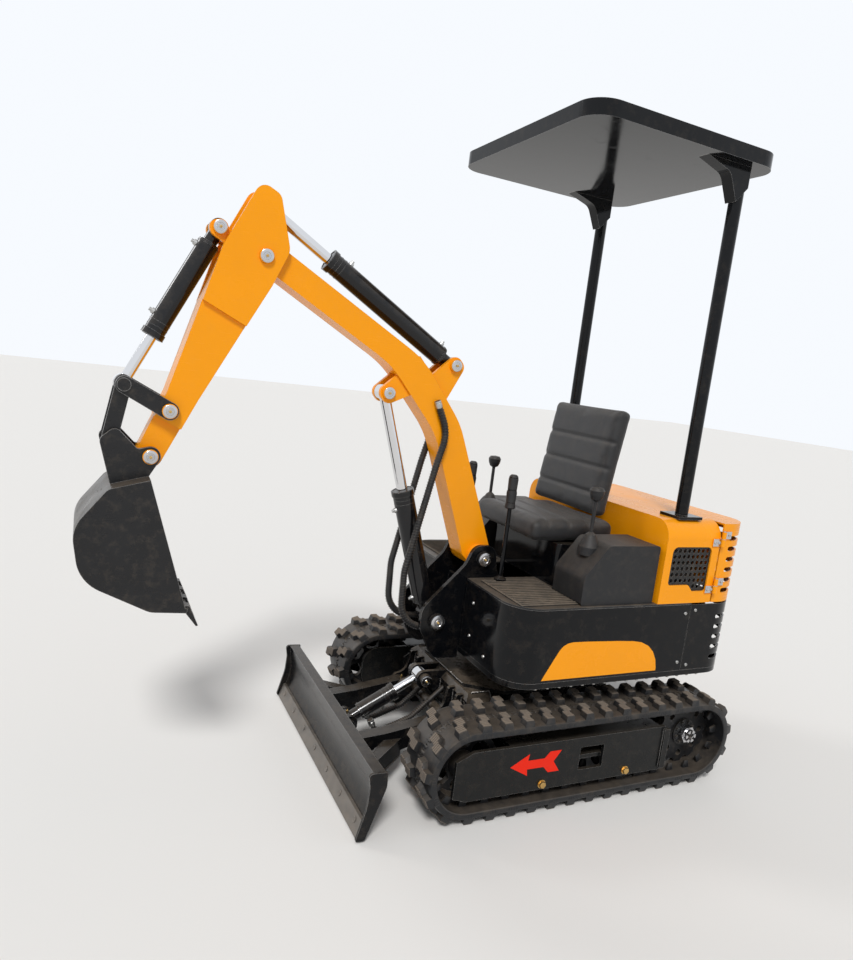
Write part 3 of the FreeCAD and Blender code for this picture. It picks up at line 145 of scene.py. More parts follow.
def colour_mix(tree, amount, first, second):
    """The first colour, turned into the second by the amount."""
    node = put(tree, "Mix", {0: amount}, data_type="RGBA")
    for socket, value in ((6, first), (7, second)):
        if isinstance(value, bpy.types.NodeSocket):
            tree.links.new(value, node.inputs[socket])
        else:
            node.inputs[socket].default_value = (*value, 1)
    return node.outputs[2]


def finish_of(name, colour, rough, metal=0.0, tone=0.3, spread=0.12, dust=0.3, wear=0.0, worn=BARE_STEEL,
              edge=0.0015, blotch=9.0, grain=700.0, bump=0.06, coat=0.0, sheen=0.0, gleam=0.34):
    """A material with its own colour and gloss, aged by the yard."""
    material = bpy.data.materials.new(name)
    material.use_nodes = True
    tree = material.node_tree
    shader = tree.nodes["Principled BSDF"]
    age = put(tree, "Group", {"Blotch": blotch, "Grain": grain, "Dust": dust, "Edge": edge, "Wear": wear},
              node_tree=yard_age).outputs
    dark, light = ([channel * factor for channel in colour] for factor in (1 - tone, 1 + tone))
    paint = colour_mix(tree, age["Shade"], dark, light)
    if wear:
        paint = colour_mix(tree, age["Wear"], paint, worn)
        rubbed_steel = number_of(tree, age["Wear"], 0.9, "MULTIPLY")
        tree.links.new(number_of(tree, rubbed_steel, metal, "ADD", clamp=True), shader.inputs["Metallic"])
    else:
        shader.inputs["Metallic"].default_value = metal
    tree.links.new(colour_mix(tree, age["Dust"], paint, EARTH), shader.inputs["Base Color"])
    gloss = put(tree, "MapRange", {
        0: age["Shade"], 1: 0.3, 2: 0.7, 3: rough - spread / 2, 4: rough + spread / 2})
    dull = number_of(tree, age["Dust"], 0.5, "MULTIPLY")
    if wear:
        dull = number_of(tree, dull, number_of(tree, age["Scuff"], 0.25, "MULTIPLY"))
    tree.links.new(number_of(tree, gloss.outputs[0], dull, clamp=True), shader.inputs["Roughness"])
    relief = put(tree, "Bump", {"Strength": bump, "Distance": 0.0012, "Height": age["Height"]})
    tree.links.new(relief.outputs[0], shader.inputs["Normal"])
    shader.inputs["Coat Weight"].default_value = coat
    shader.inputs["Coat Roughness"].default_value = 0.06
    shader.inputs["Sheen Weight"].default_value = sheen
    shader.inputs["Specular IOR Level"].default_value = gleam
    return material


def show(name, shape, material, body, smooth=35):
    """Turns the shape into a piece of the object that moves with a body."""
    bmesh.ops.recalc_face_normals(shape, faces=shape.faces)
    mesh = bpy.data.meshes.new(name)
    shape.to_mesh(mesh)
    shape.free()
    mesh.materials.append(material)
    if smooth:
        mesh.shade_smooth()
        mesh.set_sharp_from_angle(angle=math.radians(smooth))
    made = bpy.data.objects.new(name, mesh)
    bpy.context.scene.collection.objects.link(made)
    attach(made, body)
    return made


def pattern_of(shape):
    """Keeps a small shape as a pattern that is stamped many times."""
    bmesh.ops.recalc_face_normals(shape, faces=shape.faces)
    mesh = bpy.data.meshes.new("pattern")
    shape.to_mesh(mesh)
    shape.free()
    return mesh


def stamp(shape, pattern, matrix):
    """Adds one copy of the pattern to the shape."""
    copied = pattern.copy()
    copied.transform(matrix)
    shape.from_mesh(copied)
    bpy.data.meshes.remove(copied)


def softened(shape, edges, offset, segments=2):
    """Rounds edges as a mould, a press or a file leaves them."""
    bmesh.ops.bevel(shape, geom=list(edges), offset=offset, offset_type="OFFSET", affect="EDGES",
                    segments=segments, profile=0.5, material=-1)


def block(shape, size, matrix=Matrix(), offset=0.0015, segments=2, taper=1.0):
    """A bar with softened edges; its top may be narrower than its foot."""
    bar = bmesh.new()
    for vert in bmesh.ops.create_cube(bar, size=1, matrix=Matrix.Diagonal((*size, 1)))["verts"]:
        if vert.co.z > 0:
            vert.co.x *= taper
            vert.co.y *= taper
    softened(bar, bar.edges, offset, segments)
    pattern = pattern_of(bar)
    stamp(shape, pattern, matrix)
    bpy.data.meshes.remove(pattern)


WHEEL_Z, REACH, TURN = 153, 135, math.radians(360 / 11)
FRONT_AXLE, REAR_AXLE, PITCH = 446, -430, 73
BELT_Y = 375
OUTER_LUGS = (
    [(FRONT_AXLE - PITCH * (k + 1), 0) for k in range(11)]
    + [(FRONT_AXLE, TURN * k) for k in range(6)]
    + [(FRONT_AXLE - PITCH * (k + 0.5), math.pi) for k in range(12)]
    + [(REAR_AXLE, -TURN * k) for k in range(6)])
INNER_LUGS = (
    [(FRONT_AXLE - PITCH * (k + 1), math.pi) for k in range(11)]
    + [(FRONT_AXLE, math.pi - TURN * k) for k in range(6)]
    + [(FRONT_AXLE - PITCH * (k + 0.5), 0) for k in range(12)]
    + [(REAR_AXLE, math.pi + TURN * k) for k in range(6)])


def on_belt(x, angle, side, half_turn=False):
    """Where a lug stands: x along the belt, y across it and z out of it."""
    way = -1 if half_turn else 1
    along = Vector((math.cos(angle), 0, math.sin(angle)))
    out = Vector((math.sin(angle), 0, -math.cos(angle)))
    origin = spot(x, side * BELT_Y, WHEEL_Z) + out * REACH / 1000
    return Matrix.Translation(origin) @ Matrix((along * way, (0, side * way, 0), out)).transposed().to_4x4()


lug = bmesh.new()
STEPS = ((-25, 87), (9, 87), (9, 56), (25, 45), (25, 17), (-9, 17), (-9, 45), (-25, 56))
foot = lug.faces.new([lug.verts.new((x / 1000, y / 1000, -0.003)) for x, y in STEPS])
raised = bmesh.ops.extrude_face_region(lug, geom=[foot])["geom"]
top = [item for item in raised if isinstance(item, bmesh.types.BMVert)]
bmesh.ops.translate(lug, vec=(0, -0.002, 0.0185), verts=top)
for vert in top:
    vert.co.x *= 0.8
    vert.co.y = 0.052 + (vert.co.y - 0.05) * 0.9
cap = [item for item in raised if isinstance(item, bmesh.types.BMFace)][0]
softened(lug, set(cap.edges), 0.002)
lug_pattern = pattern_of(lug)

ribs = bmesh.new()
for k in range(8):
    across = 22 + k * 8.1
    shift = -7.2 + 14.4 * min(max((50.5 - across) / 11 + 0.5, 0), 1)
    block(ribs, (0.0262, 0.0066, 0.003), Matrix.Translation((shift / 1000, across / 1000, 0.0164)),
          0.0006, 1, 0.94)
ribs_pattern = pattern_of(ribs)

lines = bmesh.new()
for k in range(4):
    near, far = -17 + k * 6.5, -20 + k * 8.5
    rows = []
    for x, y, z in ((near, 82, 0.3), ((near + far) / 2, 85, -1.5), (far, 88.8, -8), (far, 89, -18)):
        rows.append([lines.verts.new(Vector(corner) / 1000) for corner in (
            (x - 0.8, y - 0.4, z - 0.6), (x, y + 0.9, z + 0.5), (x + 0.8, y - 0.4, z - 0.6))])
    for low, high in zip(rows, rows[1:]):
        for i in (0, 1):
            lines.faces.new((low[i], low[i + 1], high[i + 1], high[i]))
lines_pattern = pattern_of(lines)

guide = bmesh.new()
for across in (-48, 48):
    inwards = Matrix.Translation((0, across / 1000, -0.0345)) @ Matrix.Scale(-1, 4, (0, 0, 1))
    block(guide, (0.028, 0.011, 0.025), inwards, 0.002, 2, 0.62)
guide_pattern = pattern_of(guide)

centre = bmesh.new()
for x in (-9, 9):
    block(centre, (0.011, 0.026, 0.004), Matrix.Translation((x / 1000, 0, 0.0002)), 0.001, 1, 0.85)
block(centre, (0.034, 0.004, 0.003), Matrix.Translation((0, 0, 0.0004)), 0.0008, 1)
centre_pattern = pattern_of(centre)

track_rubber = finish_of("track_rubber", (0.013, 0.0135, 0.015), 0.36, tone=0.35, spread=0.2, dust=0.2,
                         grain=420.0, bump=0.22, blotch=14.0)
lug_face = finish_of("worn_lug_tops", (0.125, 0.105, 0.088), 0.82, tone=0.4, dust=0.4, grain=900.0,
                     bump=0.35, blotch=22.0)
BEND_STEPS, RUN_STEPS = 26, 12
PROFILE = (
    (116, -89.2), (127, -89.2), (132, -87.6), (134.4, -83), (135, -76), (135, 76), (134.4, 83), (132, 87.6),
    (127, 89.2), (116, 89.2), (113.3, 87), (113.3, -87))
for hand, side in (("left", 1), ("right", -1)):
    belt = bmesh.new()
    ring = [belt.verts.new(spot(FRONT_AXLE, side * (BELT_Y + y), WHEEL_Z + r)) for r, y in PROFILE]
    loop = [belt.edges.new((ring[i - 1], ring[i])) for i in range(len(ring))]
    for axle, run in ((FRONT_AXLE, REAR_AXLE - FRONT_AXLE), (REAR_AXLE, FRONT_AXLE - REAR_AXLE)):
        bend = bmesh.ops.spin(belt, geom=loop + ring, cent=spot(axle, 0, WHEEL_Z), axis=(0, 1, 0),
                              dvec=(0, 0, 0), angle=math.pi, steps=BEND_STEPS, use_merge=False)["geom_last"]
        ends = [item for item in bend if isinstance(item, bmesh.types.BMEdge)]
        for k in range(RUN_STEPS):
            straight = bmesh.ops.extrude_edge_only(belt, edges=ends)["geom"]
            ring = [item for item in straight if isinstance(item, bmesh.types.BMVert)]
            bmesh.ops.translate(belt, vec=(run / RUN_STEPS / 1000, 0, 0), verts=ring)
            ends = [item for item in straight if isinstance(item, bmesh.types.BMEdge)]
        loop = ends
    bmesh.ops.remove_doubles(belt, verts=belt.verts, dist=0.00001)
    tops = bmesh.new()
    for lugs, half_turn in ((OUTER_LUGS, False), (INNER_LUGS, True)):
        for x, angle in lugs:
            here = on_belt(x, angle, side, half_turn=half_turn)
            stamp(belt, lug_pattern, here)
            stamp(belt, lines_pattern, here)
            stamp(tops, ribs_pattern, here)
    for x, angle in OUTER_LUGS:
        stamp(belt, guide_pattern, on_belt(x, angle, side))
        stamp(belt, centre_pattern, on_belt(x, angle, side))
        straight_run = angle in (0, math.pi)
        between = on_belt(x, angle if straight_run else angle + TURN / 2, side)
        if straight_run:
            between = between @ Matrix.Translation((PITCH / 2000, 0, 0))
        stamp(belt, centre_pattern, between)
    loop_piece = show(f"track_{hand}_belt", belt, track_rubber, "undercarriage")
    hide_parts(f"track_{hand}")
    show(f"track_{hand}_lug_tops", tops, lug_face, "undercarriage", smooth=20)


# --- Track frames ------------------------------------------------------------
# Flame-cut side plates welded to a box, painted black. A red arrow on the outer
# plate points forward; two plated bolts hold each side's bottom rollers.
def dress(material, *nodes):
    """Gives solids of the frame their finish."""
    for name in nodes:
        for slot in frame["nodes"][name].material_slots:
            slot.link = "OBJECT"
            slot.material = material


def seated(point, axis, spin=0.0):
    """A matrix that stands a pattern on a point, with its height along the axis."""
    turn = Vector(axis).to_track_quat("Z", "Y").to_matrix().to_4x4()
    return Matrix.Translation(point) @ turn @ Matrix.Rotation(spin, 4, "Z")


def turned(marks, steps=24):
    """A lathe-turned pattern from (radius, height) marks in millimetres."""
    shape = bmesh.new()
    verts = [shape.verts.new((radius / 1000, 0, level / 1000)) for radius, level in marks]
    edges = [shape.edges.new(pair) for pair in zip(verts, verts[1:])]
    bmesh.ops.spin(shape, geom=verts + edges, cent=(0, 0, 0), axis=(0, 0, 1), dvec=(0, 0, 0),
                   angle=2 * math.pi, steps=steps, use_merge=True)
    bmesh.ops.remove_doubles(shape, verts=shape.verts, dist=0.00001)
    return shape


def hex_bolt(across, height, washer=1.2):
    """A bolt head with chamfered corners on its washer, sizes in millimetres."""
    brim, corner = across * 0.72, across * 0.577 / 1000
    shape = turned(((0, 0), (brim, 0), (brim, washer), (across * 0.5, washer), (0, washer)), 18)
    head = bmesh.ops.create_cone(shape, cap_ends=True, segments=6, radius1=corner, radius2=corner,
                                 depth=height / 1000)["verts"]
    bmesh.ops.translate(shape, vec=(0, 0, (height / 2 + washer) / 1000), verts=head)
    upper = {edge for vert in head for edge in vert.link_edges
             if all(end.co.z > height * 0.0007 for end in edge.verts)}
    softened(shape, upper, across * 0.00006, 2)
    return pattern_of(shape)


satin_black = finish_of("track_frame_paint", (0.0065, 0.0068, 0.0068), 0.26, tone=0.25, spread=0.16,
                        dust=0.1, wear=0.35, edge=0.002, bump=0.08, gleam=0.24)
dress(satin_black, "track_frame_left", "track_frame_right")
signal_red = finish_of("red_arrow_film", (0.82, 0.018, 0.002), 0.38, tone=0.08, spread=0.1, dust=0.03,
                       bump=0.03, gleam=0.2)
gilt = finish_of("yellow_plated_bolts", (0.62, 0.4, 0.14), 0.3, metal=1.0, tone=0.25, dust=0.2, bump=0.1)
roller_bolt = hex_bolt(19, 9)
PLATE_FACE, FILM_LIFT, FILM_THICK = 452, 0.4, 0.0004
ARROW_POINT, ARROW_Z = 315, 158
ARROW = (
    ((0, 0), (64, 35), (61, 14)), ((0, 0), (61, -14), (64, -35)), ((0, 0), (61, 14), (61, -14)),
    ((61, 14), (120, 14), (120, -14), (61, -14)), ((120, 14), (155, 0), (120, -14)),
    ((120, 14), (139, 34), (180, 34), (155, 0)), ((120, -14), (155, 0), (180, -34), (139, -34)))
for hand, side in (("left", 1), ("right", -1)):
    arrow = bmesh.new()
    for corners in ARROW:
        arrow.faces.new([arrow.verts.new(
            spot(ARROW_POINT - x, side * (PLATE_FACE + FILM_LIFT), ARROW_Z + z)) for x, z in corners])
    bmesh.ops.remove_doubles(arrow, verts=arrow.verts, dist=0.00001)
    bmesh.ops.recalc_face_normals(arrow, faces=arrow.faces)
    bmesh.ops.solidify(arrow, geom=list(arrow.faces), thickness=FILM_THICK)
    show(f"red_arrow_{hand}", arrow, signal_red, "undercarriage", smooth=0)
    bolts = bmesh.new()
    for x in (193, -130):
        stamp(bolts, roller_bolt, seated(spot(x, side * PLATE_FACE, 88), (0, side, 0), 0.3))
    show(f"roller_bolts_{hand}", bolts, gilt, "undercarriage")


drop = bmesh.new()
bmesh.ops.create_uvsphere(drop, u_segments=7, v_segments=5, radius=1.0)
drop_pattern = pattern_of(drop)


def weld(shape, start, stop, size=5.0):
    """Overlapping beads laid by hand along a joint, painted over."""
    count = max(int((stop - start).length * 1000 / (size * 0.62)), 2)
    for k in range(count + 1):
        wobble = 1 + 0.16 * math.sin(k * 2.4) + 0.09 * math.sin(k * 5.1)
        middle = start.lerp(stop, k / count)
        turn = (stop - start).to_track_quat("X", "Z").to_matrix().to_4x4()
        stamp(shape, drop_pattern, Matrix.Translation(middle) @ turn @ Matrix.Diagonal(
            (size * 0.0005, size * 0.00062 * wobble, size * 0.00055 * wobble, 1)))


beads = bmesh.new()
for side in (1, -1):
    for z in (80, 212):
        weld(beads, spot(-288, side * 453, z), spot(-272, side * 453, z), 4)
    weld(beads, spot(-270, side * 453, 80), spot(-270, side * 453, 212), 5)
    for x0, x1 in ((171, 259), (-319, -236)):
        weld(beads, spot(x0, side * 317, 201), spot(x1, side * 317, 201), 6)
show("track_frame_welds", beads, satin_black, "undercarriage")

# --- Wheels in the tracks ----------------------------------------------------
# Cast front wheels, flanged bottom rollers and cut drive wheels, black, with a
# plated castle nut on each drive wheel. They turn in the real machine, not here.
cast_black = finish_of("cast_wheels", (0.011, 0.011, 0.012), 0.44, tone=0.35, spread=0.2, dust=0.24,
                       wear=0.3, grain=300.0, bump=0.3)
dress(cast_black, *(f"{wheel}_{hand}" for wheel in ("idler", "sprocket", "roller_front", "roller_rear")
                    for hand in ("left", "right")))
bright = finish_of("plated_steel", (0.56, 0.56, 0.57), 0.2, metal=1.0, tone=0.2, spread=0.14, dust=0.16,
                   bump=0.06)
dress(bright, "hub_nut_left", "hub_nut_right")
small_bolt = hex_bolt(13, 6)
axle_cap = pattern_of(turned(((0, 1), (9, 1), (9.5, 3), (15, 3.5), (16, 2.6), (16, 0), (0, 0)), 20))
BOLT_RING = 37
hub_fixings = bmesh.new()
hub_caps = bmesh.new()
for side in (1, -1):
    for k in range(8):
        angle = math.pi * (k + 0.5) / 4
        x, z = REAR_AXLE + BOLT_RING * math.cos(angle), WHEEL_Z + BOLT_RING * math.sin(angle)
        stamp(hub_fixings, small_bolt, seated(spot(x, side * 393, z), (0, side, 0), angle))
    stamp(hub_caps, axle_cap, seated(spot(REAR_AXLE, side * 417, WHEEL_Z), (0, side, 0)))
show("drive_wheel_bolts", hub_fixings, cast_black, "undercarriage")
show("drive_wheel_shaft_ends", hub_caps, cast_black, "undercarriage")

# --- Centre frame ------------------------------------------------------------
# A welded steel box with a bevelled front beam, glossy black and dusty on top. Curved
# strap ears hold the blade arms on silver pins with brass grease nipples.
gloss_black = finish_of("gloss_black_paint", (0.003, 0.0034, 0.0044), 0.1, tone=0.25, spread=0.1, dust=0.1,
                        wear=0.4, edge=0.0018, bump=0.04, coat=0.04, blotch=5.0, grain=500.0, gleam=0.2)
dusty_black = finish_of("dusty_black_paint", (0.005, 0.0053, 0.0062), 0.16, tone=0.3, spread=0.14,
                        dust=0.34, wear=0.5, edge=0.0018, bump=0.07, coat=0.03, blotch=6.0, gleam=0.24)
dress(dusty_black, "center_frame", "deck_plate", "cross_members", "front_ears", "cross_tube")
brass = finish_of("brass_nipples", (0.62, 0.42, 0.16), 0.26, metal=1.0, tone=0.2, dust=0.15, bump=0.06)
zinc = finish_of("zinc_fittings", (0.5, 0.5, 0.49), 0.34, metal=1.0, tone=0.2, dust=0.22, bump=0.1)
nipple = pattern_of(turned((
    (0, 9), (1.6, 8.6), (2.4, 7), (1.5, 5.6), (2.2, 4.8), (4, 4.4), (4, 0), (0, 0)), 10))
pin_head = pattern_of(turned((
    (0, 4), (5, 4), (5.6, 3.2), (8, 3.2), (8.6, 4.2), (14, 4.2), (15, 3.4), (15, 0), (0, 0)), 28))
pins, nipples = bmesh.new(), bmesh.new()


def pin_end(x, y, z, scale=1.0):
    """A silver pin head with its grease nipple, on the outer face of a boss."""
    where = seated(spot(x, y, z), (0, math.copysign(1, y), 0))
    stamp(pins, pin_head, where @ Matrix.Diagonal((scale, scale, 1, 1)))
    stamp(nipples, nipple, where @ Matrix.Translation((0, 0, 0.0035)))


for side in (1, -1):
    pin_end(410, side * 195, 151, 1.2)
    pin_end(415, side * 52, 254, 1.28)
show("frame_pin_heads", pins, bright, "undercarriage")
show("frame_grease_nipples", nipples, brass, "undercarriage")
for name, body, places in (("blade_arm_nipples", "blade", ((410, 152, 178.5), (410, -152, 178.5))),
                           ("blade_barrel_nipple", "blade_barrel", ((667, 0, 145.5),))):
    nipples = bmesh.new()
    for place in places:
        stamp(nipples, nipple, seated(spot(*place), (0, 0, 1)))
    show(name, nipples, brass, body)
beads = bmesh.new()
for side in (1, -1):
    for y in (117.5, 128.5, 175.5, 186.5):
        weld(beads, spot(352.5, side * y, 130), spot(352.5, side * y, 255), 5)
    for y in (21.5, 36.5):
        weld(beads, spot(353, side * y, 215), spot(353, side * y, 250), 5)
    weld(beads, spot(262, side * 202, 276), spot(326, side * 202, 276), 5)
    weld(beads, spot(260, side * 204, 275), spot(260, side * 272, 203), 5)
    weld(beads, spot(353, side * 204, 250), spot(353, side * 270, 200), 4)
weld(beads, spot(332, -145, 284), spot(332, 145, 284), 5)
show("centre_frame_welds", beads, dusty_black, "undercarriage")

# --- Slewing ring ------------------------------------------------------------
# A bearing of dark oiled steel. Bolts go down through its foot all round, and short
# gear teeth show as a dotted row under the house.
ring_steel = finish_of("oiled_ring_steel", (0.05, 0.048, 0.045), 0.36, metal=0.85, tone=0.4, dust=0.3,
                       blotch=20.0, bump=0.14)
dress(ring_steel, "slew_ring")
FOOT_BOLTS, FOOT_RADIUS, TEETH, TEETH_RADIUS = 32, 208, 72, 0.2005
ring_bolts = bmesh.new()
for k in range(FOOT_BOLTS):
    angle = 2 * math.pi * k / FOOT_BOLTS
    place = spot(FOOT_RADIUS * math.cos(angle), FOOT_RADIUS * math.sin(angle), 299)
    stamp(ring_bolts, small_bolt, seated(place, (0, 0, 1), angle))
for k in range(TEETH):
    turn = Matrix.Rotation(2 * math.pi * k / TEETH, 4, "Z")
    place = Matrix.Translation(spot(0, 0, 336)) @ turn @ Matrix.Translation((TEETH_RADIUS, 0, 0))
    block(ring_bolts, (0.004, 0.009, 0.014), place, 0.001, 1)
show("slew_ring_bolts", ring_bolts, ring_steel, "undercarriage")

# --- Blade -------------------------------------------------------------------
# A rolled sheet between banana-shaped end plates, with box arms and slanting braces.
# Black gloss paint, rubbed by earth low down; the cutting edge is bare and scratched.
blade_black = finish_of("blade_paint", (0.005, 0.0051, 0.0057), 0.15, tone=0.35, spread=0.16, dust=0.16,
                        wear=0.5, edge=0.0022, bump=0.08, coat=0.03, blotch=4.5, gleam=0.24)
dress(blade_black, "blade")
edge_steel = finish_of("scraped_edge_steel", (0.2, 0.185, 0.17), 0.42, metal=0.9, tone=0.4, spread=0.25,
                       dust=0.34, bump=0.25, blotch=30.0)
dress(edge_steel, "blade_edge")
beads = bmesh.new()
for side in (1, -1):
    for y in (129, 175):
        weld(beads, spot(730, side * y, 56), spot(729, side * y, 140), 6)
        weld(beads, spot(560, side * y, 88), spot(722, side * y, 50), 4)
    weld(beads, spot(600, side * 176, 128), spot(716, side * 283, 128), 5)
    weld(beads, spot(545, side * 174, 70), spot(722, side * 328, 70), 5)
    for y in (21, 37):
        weld(beads, spot(724, side * y, 66), spot(722, side * y, 146), 5)
    weld(beads, spot(712, side * 441, 192), spot(744, side * 441, 192), 5)
show("blade_welds", beads, blade_black, "blade")
flange = bmesh.new()
block(flange, (0.0035, 0.884, 0.006), Matrix.Translation(spot(713.5, 0, 195)), 0.0012)
for side in (1, -1):
    leaning = Matrix.Translation(spot(724, side * 310, 165)) @ Matrix.Rotation(0.2, 4, "Y")
    block(flange, (0.03, 0.004, 0.05), leaning, 0.001)
show("blade_top_lip", flange, blade_black, "blade")
edge_bolt = pattern_of(turned(((0, 1.2), (3.4, 1.2), (3.6, 0.6), (7.5, 1.4), (9, 0.6), (9, 0), (0, 0)), 14))
edge_bolts = bmesh.new()
for k in range(7):
    stamp(edge_bolts, edge_bolt, seated(spot(767.6, -390 + 130 * k, 32), (1, 0, 0.36)))
show("cutting_edge_bolts", edge_bolts, edge_steel, "blade")

# --- Cylinders ---------------------------------------------------------------
# Four hydraulic cylinders: black barrels with a gland collar and weld rings, rods in
# hard chrome, welded ports with zinc unions.
barrel_black = finish_of("cylinder_paint", (0.005, 0.005, 0.006), 0.15, tone=0.25, dust=0.14, wear=0.4,
                         edge=0.0015, bump=0.05, coat=0.1, blotch=7.0)
chrome = finish_of("hard_chrome", (0.72, 0.72, 0.73), 0.07, metal=1.0, tone=0.06, spread=0.05, dust=0.06,
                   bump=0.01)
# body, foot x, foot z, slope, barrel length, outer radius, side of the ports, collar height
CYLINDERS = (
    ("blade", 667, 120, 152, 182, 27, 1, 3.6),
    ("boom", 426, 480, 72.07, 436, 34, -1, 0.8),
    ("arm", 442.55, 1304.15, 30.666, 500, 31, 1, 3.6),
    ("bucket", 1185.75, 1587.74, -63.713, 340, 28, 1, 3.6))
dress(barrel_black, *(f"{row[0]}_cylinder_barrel" for row in CYLINDERS))
dress(chrome, *(f"{row[0]}_cylinder_rod" for row in CYLINDERS))
port = pattern_of(turned(((0, 14), (5, 14), (5, 8), (8, 7), (9, -3), (0, -3)), 14))
for place, x, z, slope, length, radius, way, collar_height in CYLINDERS:
    turn = math.radians(slope)
    axis = Vector((math.cos(turn), 0, math.sin(turn)))
    out = Vector((-math.sin(turn), 0, math.cos(turn))) * way
    rings, unions = bmesh.new(), bmesh.new()
    for at_mm, share, wide in (
            (50, 0.4, 5), (length - 44, 0.33, 3), (length - 30, 0.3, 3), (length - 1.5, 1, 3)):
        inner, outer = radius - 2, radius + share * collar_height
        collar = pattern_of(turned((
            (inner, 0), (outer, 0.6), (outer, wide - 0.6), (inner, wide), (inner, 0)), 40))
        stamp(rings, collar, seated(spot(x, 0, z) + axis * at_mm / 1000, axis))
    for at_mm in (66, length - 60):
        base = spot(x, 0, z) + axis * at_mm / 1000 + out * (radius - 1) / 1000
        stamp(unions, port, seated(base, out))
    show(f"{place}_barrel_rings", rings, barrel_black, f"{place}_barrel")
    show(f"{place}_barrel_unions", unions, zinc, f"{place}_barrel")

# --- House -------------------------------------------------------------------
# Bent sheet panels in deep gloss black on a thick base plate, with a yellow patch on
# each side, a row of small bolts under the edge and slots in the rear corners.
dress(gloss_black, "house_base", "side_panel_left", "side_panel_right", "rear_cowl", "boom_bracket")
yellow = finish_of("yellow_paint", (0.93, 0.335, 0.003), 0.26, tone=0.07, spread=0.12, dust=0.06, wear=0.25,
                   worn=(0.42, 0.2, 0.03), edge=0.0015, bump=0.06, coat=0.02, blotch=5.0, gleam=0.22)
PATCH = (
    (213, 398), (207, 410), (180, 458), (160, 492), (148, 505), (132, 513), (112, 516), (60, 515),
    (-60, 510), (-124, 506), (-160, 500), (-192, 486), (-216, 464), (-232, 436), (-239, 408), (-239, 398))
PANEL_FACE = 402
for hand, side in (("left", 1), ("right", -1)):
    patch = bmesh.new()
    sheet = patch.faces.new([patch.verts.new(spot(x, side * (PANEL_FACE + 0.1), z)) for x, z in PATCH])
    bmesh.ops.triangulate(patch, faces=[sheet])
    bmesh.ops.solidify(patch, geom=list(patch.faces), thickness=0.0005)
    show(f"yellow_patch_{hand}", patch, yellow, "house", smooth=0)
house_bolts = bmesh.new()
screw = pattern_of(turned(((0, 1.4), (2.2, 1.4), (2.6, 3), (5, 2.4), (6, 0), (0, 0)), 12))
for side in (1, -1):
    for k in range(16):
        stamp(house_bolts, small_bolt, seated(spot(220 - 44 * k, side * 388, 372), (0, 0, -1), k))
    for x, z in ((-330, 420), (-330, 590), (-372, 408), (-372, 600)):
        stamp(house_bolts, screw, seated(spot(x, side * PANEL_FACE, z), (0, side, 0)))
    for y, z in ((150, 450), (150, 560), (250, 420)):
        stamp(house_bolts, screw, seated(spot(332, side * y, z), (1, 0, 0)))
show("house_bolts", house_bolts, zinc, "house")
pins, nipples = bmesh.new(), bmesh.new()
for side in (1, -1):
    pin_end(280, side * 100, 690, 1.5)
    pin_end(426, side * 100, 480, 1.62)
show("bracket_pin_heads", pins, bright, "house")
show("bracket_grease_nipples", nipples, brass, "house")

# --- Engine cover and rear door ----------------------------------------------
# Yellow sheet over a cast engine with cooling ribs, an exhaust drum, an air filter drum and
# a fan cowl; a window of perforated black steel on each side. The rear door hangs on two
# plated hinges with four screws each.
dress(yellow, "engine_cover", "rear_door")
grille_black = finish_of("perforated_sheet", (0.012, 0.012, 0.012), 0.5, tone=0.3, dust=0.3, wear=0.3,
                         bump=0.1)
dress(grille_black, "side_grille_left", "side_grille_right")
engine_dark = finish_of("engine_castings", (0.045, 0.043, 0.04), 0.6, metal=0.3, tone=0.5, dust=0.4,
                        bump=0.4, blotch=24.0, grain=240.0)
dress(engine_dark, "engine")
LOWEST_RIB, RIB_STEP, FIN_STEP = 430, 25, 14
ribs = bmesh.new()
for k in range(13):
    level = LOWEST_RIB + RIB_STEP * k
    block(ribs, (0.012, 0.34, 0.006), Matrix.Translation(spot(-549, 0, level)), 0.0015, 1)
    for side in (1, -1):
        block(ribs, (0.15, 0.012, 0.006), Matrix.Translation(spot(-450, side * 194, level)), 0.0015, 1)
for k in range(9):
    block(ribs, (0.15, 0.005, 0.052), Matrix.Translation(spot(-450, -8 + FIN_STEP * k, 797)), 0.0012, 1)
block(ribs, (0.11, 0.1, 0.026), Matrix.Translation(spot(-450, 48, 834)), 0.006, 3)
show("engine_cooling_ribs", ribs, engine_dark, "house")
drums = bmesh.new()
drum = pattern_of(turned((
    (0, 0), (30, 0), (40, 4), (42, 10), (42, 62), (44, 64), (44, 70), (42, 72), (42, 128), (40, 134),
    (12, 136), (12, 150), (0, 150)), 32))
stamp(drums, drum, seated(spot(-400, -30, 818), (0, -1, 0)))
stamp(drums, drum, seated(spot(-508, -30, 812), (0, -1, 0)) @ Matrix.Diagonal((0.86, 0.86, 1, 1)))
cowl = pattern_of(turned((
    (0, 26), (20, 26), (24, 20), (34, 20), (34, 14), (44, 14), (48, 24), (96, 24), (108, 18), (112, 0),
    (0, 0)), 40))
stamp(drums, cowl, seated(spot(-450, 200, 600), (0, 1, 0)))
show("engine_drums_and_fan_cowl", drums, grille_black, "house")
HINGE_HALF = 12.5
